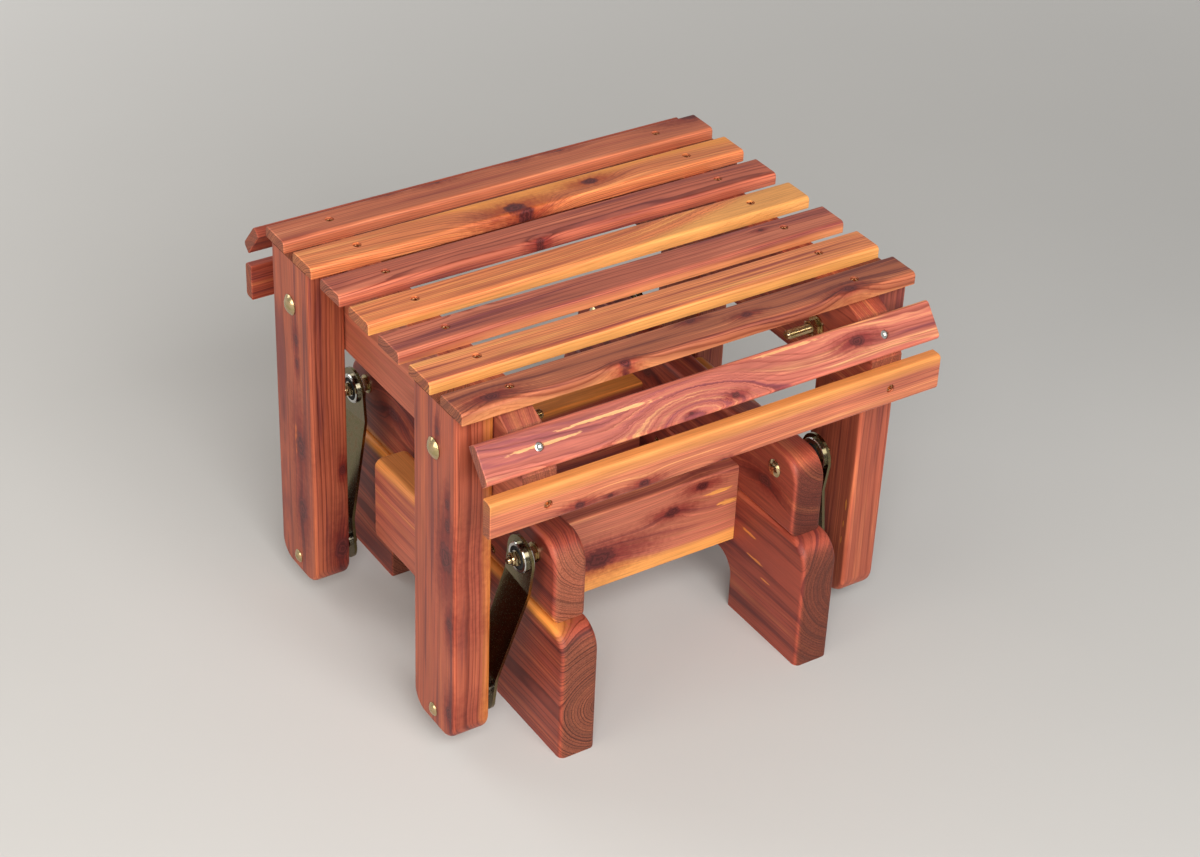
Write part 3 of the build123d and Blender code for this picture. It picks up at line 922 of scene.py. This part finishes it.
def screw_bronze(name):
    """Bronze deck coating, worn to bright metal in places."""
    settings = bpy.context.scene.ottoman_hardware
    material, graph, shader, marks = scuffed(name, 0.5, "Scratches", 0.2, 0.26)
    bronze = tuple(settings.bronze)
    worn = tuple(0.5 * (first + second) for first, second in zip(bronze, settings.zinc))
    coat = graph.mix(graph.step(marks["Clouds"], 0.55, 0.75), bronze, worn)
    graph.feed(shader.inputs["Base Color"], coat)
    shader.inputs["Metallic"].default_value = 1.0
    return material


FINISHES = {
    "yellow_zinc": zinc_plate,
    "olive_zinc": arm_plate,
    "bearing_steel": bearing_steel,
    "seal_rubber": seal_rubber,
    "lock_nut_nylon": nut_nylon,
    "screw_bronze": screw_bronze,
}


def shared(name):
    """The shared material of that name, built the first time that it is asked for."""
    return bpy.data.materials.get(name) or FINISHES[name](name)


# Sizes of the fasteners and seals, in metres
TOP_BOLT = {
    "radius": 3.97 * MM, "head_radius": 9.15 * MM, "head_height": 4.4 * MM, "plain": 34 * MM
}
LOW_BOLT = {
    "radius": 3.175 * MM, "head_radius": 6.9 * MM, "head_height": 3.4 * MM, "plain": 40 * MM
}
LEG_BOLT = {
    "radius": 4.76 * MM, "head_radius": 10.4 * MM, "head_height": 5.0 * MM, "plain": 66 * MM
}
LOW_BOLT_LENGTH = 63.5 * MM
LEG_BOLT_LENGTH = 108 * MM
TOP_NUT = {"flats": 12.7 * MM, "height": 6.8 * MM, "bore": 4.02 * MM}
LOW_NUT = {"flats": 11.1 * MM, "height": 5.6 * MM, "bore": 3.225 * MM}
LEG_NUT = {"flats": 14.3 * MM, "height": 8.3 * MM, "bore": 4.81 * MM}
SLAT_SCREW = {"radius": 2.1 * MM, "head_radius": 4.3 * MM, "length": 44 * MM}
BASE_SCREW = {"radius": 2.4 * MM, "head_radius": 4.8 * MM}
STRETCHER_SCREW_LENGTH = 76 * MM
BLOCK_SCREW_LENGTH = 62 * MM
SLAT_SCREW_SINK = 1.2 * MM
BASE_SCREW_SINK = 0.5 * MM
STRETCHER_SCREW_INSET = 18 * MM
BLOCK_SCREW_REACH = 35 * MM
BLOCK_SCREW_DROP = 24 * MM
SCREW_TIP = 5 * MM
SEAL_BORE = 7.8 * MM
SEAL_THICKNESS = 0.8 * MM

# A screw head's slope from its axis, a nut's chamfer, and the largest angles shaded smooth
HEAD_SLOPE = radians(41)
NUT_CHAMFER = radians(30)
SMOOTH_ANGLE = radians(35)
NUT_SMOOTH_ANGLE = radians(28)

# Radius of a nut's flat face, as a share of the width over its flats
FACE_SHARE = 0.48


class Form:
    """Rings of points and the faces between them, gathered before a piece's mesh is made."""

    def __init__(self, steps=24, smooth_angle=SMOOTH_ANGLE):
        self.steps = steps
        self.smooth_angle = smooth_angle
        self.points = []
        self.faces = []
        self.finishes = []

    def circle(self, height, radius):
        """One ring round +Z. The radius may be a function of the angle; zero makes a point."""
        if radius == 0:
            return [Vector((0, 0, height))]
        ring = []
        for index in range(self.steps):
            angle = 2 * pi * index / self.steps
            reach = radius(angle) if callable(radius) else radius
            ring.append(Vector((reach * cos(angle), reach * sin(angle), height)))
        return ring

    def skin(self, rings, finish=0, closed=False):
        """Faces from each ring to the next, and back to the first if closed."""
        starts = []
        for ring in rings:
            starts.append(len(self.points))
            self.points.extend(ring)
        pairs = list(zip(range(len(rings) - 1), range(1, len(rings))))
        if closed:
            pairs.append((len(rings) - 1, 0))
        for first, second in pairs:
            self.join(starts[first], len(rings[first]), starts[second], len(rings[second]), finish)

    def join(self, first, first_count, second, second_count, finish):
        for index in range(self.steps):
            after = (index + 1) % self.steps
            corners = []
            for start, count, order in (
                (first, first_count, (index, after)),
                (second, second_count, (after, index)),
            ):
                if count == 1:
                    corners.append(start)
                else:
                    corners.extend(start + step for step in order)
            self.faces.append(corners)
            self.finishes.append(finish)

    def piece(self, name, places, finishes, body, node, slot="zinc_yellow", shifts=None):
        """The finished object, with a copy of the form at each place.

        The shifts move a copy's faces along the list of finishes.
        """
        points = []
        faces = []
        for place in places:
            start = len(points)
            points.extend(place @ point for point in self.points)
            faces.extend([start + corner for corner in face] for face in self.faces)
        mesh = bpy.data.meshes.new(name)
        mesh.from_pydata(points, [], faces)
        for used in finishes:
            mesh.materials.append(shared(used))
        indices = []
        for shift in shifts or [0] * len(places):
            indices.extend(index + shift for index in self.finishes)
        mesh.polygons.foreach_set("material_index", indices)
        mesh.shade_smooth()
        mesh.set_sharp_from_angle(angle=self.smooth_angle)
        mesh.validate()
        mesh.update()
        thing = bpy.data.objects.new(name, mesh)
        bpy.context.scene.collection.objects.link(thing)
        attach(thing, body)
        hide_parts(node)


def facing(side, x, y, z, inward=False):
    """Place for a piece whose own +Z points out of one side of the seat, or into it."""
    out = Vector((-side if inward else side, 0, 0))
    along = Vector((0, 1, 0))
    turn = Matrix((along, out.cross(along), out)).transposed().to_4x4()
    return Matrix.Translation((side * x, y, z)) @ turn


def thread_radius(radius, depth, pitch, height):
    """Radius of a thread at one height, as a function of the angle."""

    def at(angle):
        turn = height / pitch - angle / (2 * pi)
        share = abs(2 * (turn - floor(turn)) - 1)
        return radius - depth * min(1.0, max(0.0, 1.25 * share - 0.1))

    return at


def domed_bolt(length, pitch, radius, head_radius, head_height, plain):
    """A domed head above the origin, a plain shank, then a thread down to the tip."""
    form = Form()
    rim = 0.16 * head_height
    dome = head_height - rim
    sphere = (head_radius**2 + dome**2) / (2 * dome)
    rings = [form.circle(head_height, 0)]
    slices = 7
    for index in range(1, slices + 1):
        reach = head_radius * index / slices
        drop = sphere - (sphere**2 - reach**2) ** 0.5
        rings.append(form.circle(head_height - drop, reach))
    rings.append(form.circle(0.3 * rim, head_radius))
    rings.append(form.circle(0, head_radius - 0.5 * rim))
    rings.append(form.circle(0, radius))
    rings.append(form.circle(-plain, radius))
    step = pitch / 8
    depth = 0.58 * pitch
    count = int((length - plain - pitch) / step)
    for index in range(1, count):
        height = -plain - index * step
        rings.append(form.circle(height, thread_radius(radius, depth, pitch, height)))
    rings.append(form.circle(-length + 0.6 * pitch, radius - depth))
    rings.append(form.circle(-length, radius - depth - 0.3 * pitch))
    rings.append(form.circle(-length, 0))
    form.skin(rings)
    return form


def hexagon(flats):
    """Distance to a hexagon's edge, as a function of the angle."""

    def at(angle):
        turned = (angle + pi / 6) % (pi / 3) - pi / 6
        return flats / 2 / cos(turned)

    return at


def chamfered(form, flats, base, rise):
    """Ring where a nut's chamfer meets its flats. The rise is 1 above and -1 below."""
    edge = hexagon(flats)
    ring = form.circle(base, edge)
    for index, point in enumerate(ring):
        corner = max(0.0, edge(2 * pi * index / form.steps) - FACE_SHARE * flats)
        point.z = base - rise * corner * tan(NUT_CHAMFER)
    return ring


def plain_nut(flats, height, bore):
    """Hexagon nut, its base at the origin, with both faces chamfered."""
    form = Form(48, NUT_SMOOTH_ANGLE)
    face = FACE_SHARE * flats
    lead = 0.08 * flats
    form.skin(
        [
            form.circle(0, face),
            chamfered(form, flats, 0, -1),
            chamfered(form, flats, height, 1),
            form.circle(height, face),
            form.circle(height, bore + lead),
            form.circle(height - lead, bore),
            form.circle(lead, bore),
            form.circle(0, bore + lead),
        ],
        closed=True,
    )
    return form


def lock_nut(flats, height, bore):
    """Hexagon nut whose round collar holds a nylon ring, its base at the origin."""
    form = Form(48, NUT_SMOOTH_ANGLE)
    face = FACE_SHARE * flats
    hexagon_height = 0.66 * height
    collar = 0.455 * flats
    lead = 0.06 * flats
    ring = collar - 0.1 * flats
    form.skin(
        [
            form.circle(0, face),
            chamfered(form, flats, 0, -1),
            chamfered(form, flats, hexagon_height, 1),
            form.circle(hexagon_height, face),
            form.circle(hexagon_height, collar),
            form.circle(height - 0.09 * flats, collar),
            form.circle(height - 0.03 * flats, collar - 0.025 * flats),
            form.circle(height, collar - 0.07 * flats),
            form.circle(height - 0.02 * flats, ring),
            form.circle(hexagon_height, ring),
            form.circle(hexagon_height, bore),
            form.circle(lead, bore),
            form.circle(0, bore + lead),
        ],
        closed=True,
    )
    gap = 0.004 * flats
    form.skin(
        [
            form.circle(hexagon_height + gap, ring - gap),
            form.circle(height - 0.05 * flats, ring - gap),
            form.circle(height - 0.035 * flats, (ring + bore) / 2),
            form.circle(height - 0.06 * flats, bore + gap),
            form.circle(hexagon_height + gap, bore + gap),
        ],
        finish=1,
        closed=True,
    )
    return form


def wood_screw(radius, length, head_radius, pitch):
    """Countersunk screw with its head's top at the origin and a six-lobed socket."""
    form = Form()
    cone = (head_radius - radius) / tan(HEAD_SLOPE)
    socket = 0.44 * head_radius

    def lobes(angle):
        return socket * (1 + 0.16 * cos(6 * angle))

    depth = 0.5 * head_radius
    rim = 0.09 * head_radius
    rings = [
        form.circle(-depth - 0.1 * head_radius, 0),
        form.circle(-depth, 0.6 * socket),
        form.circle(-depth, lobes),
        form.circle(-0.05 * head_radius, lobes),
        form.circle(0, lambda angle: lobes(angle) + 0.5 * rim),
        form.circle(0, head_radius - rim),
        form.circle(-0.5 * rim, head_radius),
        form.circle(-rim, head_radius - 0.3 * rim),
        form.circle(-cone, radius),
        form.circle(-cone - 2 * pitch, radius),
    ]
    step = pitch / 5
    start = cone + 2 * pitch
    count = int((length - start - SCREW_TIP) / step)
    for index in range(1, count):
        height = -start - index * step
        rings.append(form.circle(height, thread_radius(radius, 0.3 * radius, pitch, height)))
    rings.append(form.circle(-length + SCREW_TIP, 0.7 * radius))
    rings.append(form.circle(-length, 0))
    form.skin(rings)
    return form


def seal_form(bore, radius, thickness):
    """Bearing seal with a raised lip at its bore and a shallow groove."""
    form = Form(40)
    width = radius - bore
    form.skin(
        [
            form.circle(0, bore),
            form.circle(thickness, bore),
            form.circle(thickness, bore + 0.18 * width),
            form.circle(0.62 * thickness, bore + 0.3 * width),
            form.circle(0.62 * thickness, bore + 0.62 * width),
            form.circle(0.88 * thickness, bore + 0.74 * width),
            form.circle(0.88 * thickness, radius - 0.06 * width),
            form.circle(0.7 * thickness, radius),
            form.circle(0, radius),
        ],
        closed=True,
    )
    return form


def pivots(joint_name):
    """The four bolts like the one at a joint, each with its side, end, y and z."""
    for joint in frame["joints"]:
        if joint["name"] == joint_name:
            place = Vector(joint["pos_m"])
            return [(side, end, -place.y * end, place.z) for side, end in SEAT_CORNERS]
    raise RuntimeError(f"the frame has no joint named {joint_name}")


def leg_bolts():
    low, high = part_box("leg_bolt_washers")
    washer_radius = (high.z - low.z) / 2
    y = high.y - washer_radius
    return [(side, end, y * end, (low.z + high.z) / 2) for side, end in SEAT_CORNERS]


def places(spots, x, inward=False):
    return [facing(side, x, y, z, inward) for side, end, y, z in spots]


# ---- operators ------------------------------------------------------------------------------
class FinishSlats(bpy.types.Operator):
    """Give each seat slat its own piece of cedar"""

    bl_idname = "ottoman.finish_slats"
    bl_label = "Slats"

    def execute(self, context):
        # The slats' narrow faces get a painted highlight of this share
        worn = context.scene.ottoman_cedar.worn_edges
        finish_boards(slat_boards(), 1, slat_directions, worn)
        return {"FINISHED"}


class FinishLegs(bpy.types.Operator):
    """Give each leg its own piece of cedar, its grain upright"""

    bl_idname = "ottoman.finish_legs"
    bl_label = "Legs"

    def execute(self, context):
        finish_boards(leg_boards(), 21, lambda name: UPRIGHT)
        return {"FINISHED"}


class FinishFrame(bpy.types.Operator):
    """Give the rails, the base boards, the blocks and the stretchers their cedar"""

    bl_idname = "ottoman.finish_frame"
    bl_label = "Rails and base"

    def execute(self, context):
        finish_boards(frame_boards(), 31, lambda name: TO_THE_REAR)
        finish_boards(stretcher_boards(), 41, lambda name: SIDEWAYS)
        return {"FINISHED"}


class FinishArms(bpy.types.Operator):
    """Plate the swing arms and make the bearings' rings and seals"""

    bl_idname = "ottoman.finish_arms"
    bl_label = "Swing arms and bearings"

    def execute(self, context):
        for name, node in nodes.items():
            if name.startswith("swing_arm"):
                give_material(node, shared("olive_zinc"))
            elif name.startswith(("bearing_outer_ring", "bearing_inner")):
                give_material(node, shared("bearing_steel"))
        for side, end, y, z in pivots("swing_front_right"):
            corner = f"{'front' if end < 0 else 'rear'}_{'left' if side < 0 else 'right'}"
            node = f"bearing_seals_{corner}"
            low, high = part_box(node)
            near, far = sorted((abs(low.x), abs(high.x)))
            form = seal_form(SEAL_BORE, (high.z - low.z) / 2, SEAL_THICKNESS)
            both = [
                facing(side, far - SEAL_THICKNESS, y, z),
                facing(side, near + SEAL_THICKNESS, y, z, inward=True),
            ]
            form.piece(
                f"moulded_seals_{corner}", both, ["seal_rubber"], f"arm_{corner}", node,
                "seal_rubber",
            )
        return {"FINISHED"}


class FinishPivots(bpy.types.Operator):
    """Make the pivots' threaded bolts, lock nuts and spacer nuts"""

    bl_idname = "ottoman.finish_pivots"
    bl_label = "Pivot bolts and nuts"

    def execute(self, context):
        pitch = context.scene.ottoman_hardware.thread_pitch
        for name in ("top_pivot_washers", "lower_pivot_washers", "top_pivot_thrust_washers"):
            give_material(nodes[name], shared("yellow_zinc"))
        give_material(nodes["lower_pivot_spacers"], shared("bearing_steel"))
        top = pivots("swing_front_right")
        low = pivots("seat_level")

        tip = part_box("top_pivot_bolts")[1].x
        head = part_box("base_upper_board_right")[0].x
        domed_bolt(tip - head, pitch, **TOP_BOLT).piece(
            "threaded_top_pivot_bolts", places(top, head, inward=True), ["yellow_zinc"],
            "base", "top_pivot_bolts",
        )
        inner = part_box("top_pivot_lock_nuts")[1].x - TOP_NUT["height"]
        lock_nut(**TOP_NUT).piece(
            "top_lock_nuts", places(top, inner), ["yellow_zinc", "lock_nut_nylon"],
            "base", "top_pivot_lock_nuts",
        )
        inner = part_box("top_pivot_spacer_nuts")[1].x - TOP_NUT["height"]
        plain_nut(**TOP_NUT).piece(
            "top_spacer_nuts", places(top, inner), ["yellow_zinc"],
            "base", "top_pivot_spacer_nuts",
        )
        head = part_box("leg_front_right")[1].x
        domed_bolt(LOW_BOLT_LENGTH, pitch, **LOW_BOLT).piece(
            "threaded_lower_pivot_bolts", places(low, head), ["yellow_zinc"],
            "seat", "lower_pivot_bolts",
        )
        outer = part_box("lower_pivot_nuts")[1].x
        lock_nut(**LOW_NUT).piece(
            "lower_lock_nuts", places(low, outer, inward=True), ["yellow_zinc", "lock_nut_nylon"],
            "seat", "lower_pivot_nuts",
        )
        return {"FINISHED"}


class FinishLegBolts(bpy.types.Operator):
    """Make the domed bolts that hold the legs to the rails, and their nuts"""

    bl_idname = "ottoman.finish_leg_bolts"
    bl_label = "Leg bolts"

    def execute(self, context):
        pitch = context.scene.ottoman_hardware.thread_pitch
        give_material(nodes["leg_bolt_washers"], shared("yellow_zinc"))
        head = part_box("leg_front_right")[1].x
        domed_bolt(LEG_BOLT_LENGTH, pitch, **LEG_BOLT).piece(
            "threaded_leg_bolts", places(leg_bolts(), head), ["yellow_zinc"],
            "seat", "leg_bolts",
        )
        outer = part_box("leg_bolt_nuts")[1].x
        plain_nut(**LEG_NUT).piece(
            "chamfered_leg_nuts", places(leg_bolts(), outer, inward=True), ["yellow_zinc"],
            "seat", "leg_bolt_nuts",
        )
        return {"FINISHED"}


class FinishScrews(bpy.types.Operator):
    """Make the countersunk screws of the slats, the stretchers and the side blocks"""

    bl_idname = "ottoman.finish_screws"
    bl_label = "Wood screws"

    def execute(self, context):
        pitch = context.scene.ottoman_hardware.screw_pitch
        screw_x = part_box("slat_screws")[1].x - SLAT_SCREW["head_radius"]
        slats = []
        bright = []
        for name in slat_boards():
            centre, depth, half = board_centre(name)
            for side in (-1, 1):
                top = centre + depth * (half - SLAT_SCREW_SINK)
                turn = depth.to_track_quat("Z", "X").to_matrix().to_4x4()
                slats.append(Matrix.Translation((side * screw_x, top.y, top.z)) @ turn)
                bright.append(int(name == "bevel_slat_front"))
        wood_screw(pitch=pitch, **SLAT_SCREW).piece(
            "star_slat_screws", slats, ["screw_bronze", "bearing_steel"],
            "seat", "slat_screws", shifts=bright,
        )

        bottom, top = (corner.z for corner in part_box("front_stretcher"))
        stretcher_y = abs(sum(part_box("front_stretcher"), Vector()).y) / 2
        low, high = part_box("base_lower_board_right")
        seam = high.z
        lower_x = high.x - BASE_SCREW_SINK
        upper_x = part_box("base_upper_board_right")[1].x - BASE_SCREW_SINK
        stretchers = []
        for side, end in SEAT_CORNERS:
            y = end * stretcher_y
            stretchers.append(facing(side, lower_x, y, bottom + STRETCHER_SCREW_INSET))
            stretchers.append(facing(side, lower_x, y, seam - STRETCHER_SCREW_INSET))
            stretchers.append(facing(side, upper_x, y, (seam + top) / 2))
        wood_screw(length=STRETCHER_SCREW_LENGTH, pitch=pitch, **BASE_SCREW).piece(
            "star_stretcher_screws", stretchers, ["yellow_zinc"], "base", "stretcher_screws"
        )
        blocks = []
        inner_x = low.x + BASE_SCREW_SINK
        for side in (-1, 1):
            for y in (-BLOCK_SCREW_REACH, BLOCK_SCREW_REACH):
                blocks.append(facing(side, inner_x, y, seam - BLOCK_SCREW_DROP, inward=True))
        wood_screw(length=BLOCK_SCREW_LENGTH, pitch=pitch, **BASE_SCREW).piece(
            "star_block_screws", blocks, ["yellow_zinc"], "base", "side_block_screws"
        )
        return {"FINISHED"}


# ---- studio ---------------------------------------------------------------------------------
# Each lamp's place, its width and height, all in metres, and its colour
LAMPS = {
    "key": ((-0.7, -2.4, 2.05), (2.8, 1.8), (1.0, 1.0, 1.0)),
    "side": ((-3.2, -0.6, 1.1), (2.4, 1.4), (1.0, 0.91, 0.8)),
    "back": ((-1.3, 2.2, 1.5), (1.8, 1.4), (1.0, 1.0, 1.0)),
}
LAMP_TARGET = (0, 0, 0.2)

# The floor's half width in metres, and where its far glow starts and is full, in millimetres
FLOOR_REACH = 30.0
GLOW_CENTRE = (-300.0, -1300.0, 0.0)
GLOW_START = 1800.0
GLOW_FULL = 5200.0

# The photograph's camera, with its angles in radians and its target in millimetres
CAMERA_AZIMUTH = -0.59385
CAMERA_ELEVATION = 0.59133
CAMERA_ROLL = 0.04509
CAMERA_TARGET = (5.35, -23.79, 201.42)
CAMERA_DISTANCE = 2.4157
FOCAL_LENGTH_PIXELS = 2523.75
PHOTO_WIDTH_PIXELS = 1200


def hang_lamp(kind, power):
    place, size, colour = LAMPS[kind]
    data = bpy.data.lights.new(f"{kind}_lamp", "AREA")
    data.shape = "RECTANGLE"
    data.size, data.size_y = size
    data.energy = power
    data.color = colour
    light = bpy.data.objects.new(f"{kind}_lamp", data)
    light.location = place
    way = Vector(LAMP_TARGET) - Vector(place)
    light.rotation_euler = way.to_track_quat("-Z", "Y").to_euler()
    bpy.context.scene.collection.objects.link(light)


def looked_at(graph):
    """One where the camera, a mirror or clear glass shows a surface, and zero elsewhere."""
    paths = graph.node("ShaderNodeLightPath").outputs
    seen = graph.larger(paths["Is Camera Ray"], paths["Is Glossy Ray"])
    return graph.larger(seen, paths["Is Transmission Ray"])


class SetStudio(bpy.types.Operator):
    """Lay the floor, hang the lamps and place the camera"""

    bl_idname = "ottoman.set_studio"
    bl_label = "Studio"

    def execute(self, context):
        settings = context.scene.ottoman_studio
        self.lay_floor(settings)
        hang_lamp("key", settings.key_power)
        hang_lamp("side", settings.side_power)
        hang_lamp("back", settings.back_power)
        self.set_sky(settings)
        self.place_camera()
        context.scene.view_settings.view_transform = "Standard"
        return {"FINISHED"}

    def lay_floor(self, settings):
        reach = FLOOR_REACH
        corners = [(-reach, -reach, 0), (reach, -reach, 0), (reach, reach, 0), (-reach, reach, 0)]
        mesh = bpy.data.meshes.new("studio_floor")
        mesh.from_pydata(corners, [], [(0, 1, 2, 3)])
        floor_object = bpy.data.objects.new("studio_floor", mesh)
        bpy.context.scene.collection.objects.link(floor_object)
        material, graph, shader = new_material("studio_floor")
        spot, _ = own_position(graph)
        mottle = graph.noise(spot, 4.0, 0.6, 0.004)
        pale = tuple(settings.floor)
        dim = scaled(pale, (0.97, 0.97, 0.97))
        graph.feed(shader.inputs["Base Color"], graph.mix(mottle, dim, pale))
        shader.inputs["Roughness"].default_value = 0.7
        shader.inputs["Emission Color"].default_value = opaque((1.0, 0.99, 0.97))
        distance = graph.vector("DISTANCE", spot, GLOW_CENTRE)
        glow = graph.times(graph.step(distance, GLOW_START, GLOW_FULL), settings.backdrop)
        graph.feed(shader.inputs["Emission Strength"], graph.times(glow, looked_at(graph)))
        give_material(floor_object, material)

    def set_sky(self, settings):
        world = bpy.data.worlds.new("studio_sky")
        bpy.context.scene.world = world
        world.use_nodes = True
        sky = world.node_tree.nodes["Background"]
        sky.inputs["Color"].default_value = opaque((1.0, 0.98, 0.95))
        graph = Graph(world.node_tree)
        beyond = settings.backdrop + settings.sky * settings.floor[0]
        strength = graph.blend(looked_at(graph), settings.sky, beyond)
        graph.feed(sky.inputs["Strength"], strength)

    def place_camera(self):
        azimuth, elevation, roll = CAMERA_AZIMUTH, CAMERA_ELEVATION, CAMERA_ROLL
        target = Vector(CAMERA_TARGET) * MM
        back = Vector(
            (sin(azimuth) * cos(elevation), -cos(azimuth) * cos(elevation), sin(elevation))
        )
        right = (-back).cross(Vector((0, 0, 1))).normalized()
        up = right.cross(-back)
        across = right * cos(roll) + up * sin(roll)
        upright = up * cos(roll) - right * sin(roll)
        data = bpy.data.cameras.new("photo_camera")
        data.sensor_width = 36.0
        data.lens = FOCAL_LENGTH_PIXELS * data.sensor_width / PHOTO_WIDTH_PIXELS
        camera = bpy.data.objects.new("photo_camera", data)
        turn = Matrix((across, upright, back)).transposed().to_4x4()
        camera.matrix_world = Matrix.Translation(target + back * CAMERA_DISTANCE) @ turn
        bpy.context.scene.collection.objects.link(camera)
        bpy.context.scene.camera = camera


OPERATORS = (
    FinishSlats,
    FinishLegs,
    FinishFrame,
    FinishArms,
    FinishPivots,
    FinishLegBolts,
    FinishScrews,
    SetStudio,
)
SETTINGS = {
    "ottoman_cedar": CedarSettings,
    "ottoman_hardware": HardwareSettings,
    "ottoman_studio": StudioSettings,
}


class OttomanPanel(bpy.types.Panel):
    """Settings and steps of the ottoman's looks"""

    bl_idname = "VIEW3D_PT_ottoman"
    bl_label = "Glider ottoman"
    bl_space_type = "VIEW_3D"
    bl_region_type = "UI"
    bl_category = "Ottoman"

    def draw(self, context):
        for name, group in SETTINGS.items():
            box = self.layout.box()
            for prop in group.__annotations__:
                box.prop(getattr(context.scene, name), prop)
        for operator in OPERATORS:
            self.layout.operator(operator.bl_idname)


def register():
    for kind in (*SETTINGS.values(), *OPERATORS, OttomanPanel):
        bpy.utils.register_class(kind)
    for name, group in SETTINGS.items():
        setattr(bpy.types.Scene, name, bpy.props.PointerProperty(type=group))


def unregister():
    for name in SETTINGS:
        delattr(bpy.types.Scene, name)
    for kind in reversed((*SETTINGS.values(), *OPERATORS, OttomanPanel)):
        bpy.utils.unregister_class(kind)


def main():
    """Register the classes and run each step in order."""
    register()
    for operator in OPERATORS:
        group, name = operator.bl_idname.split(".")
        getattr(getattr(bpy.ops, group), name)()


if __name__ == "__main__":
    main()
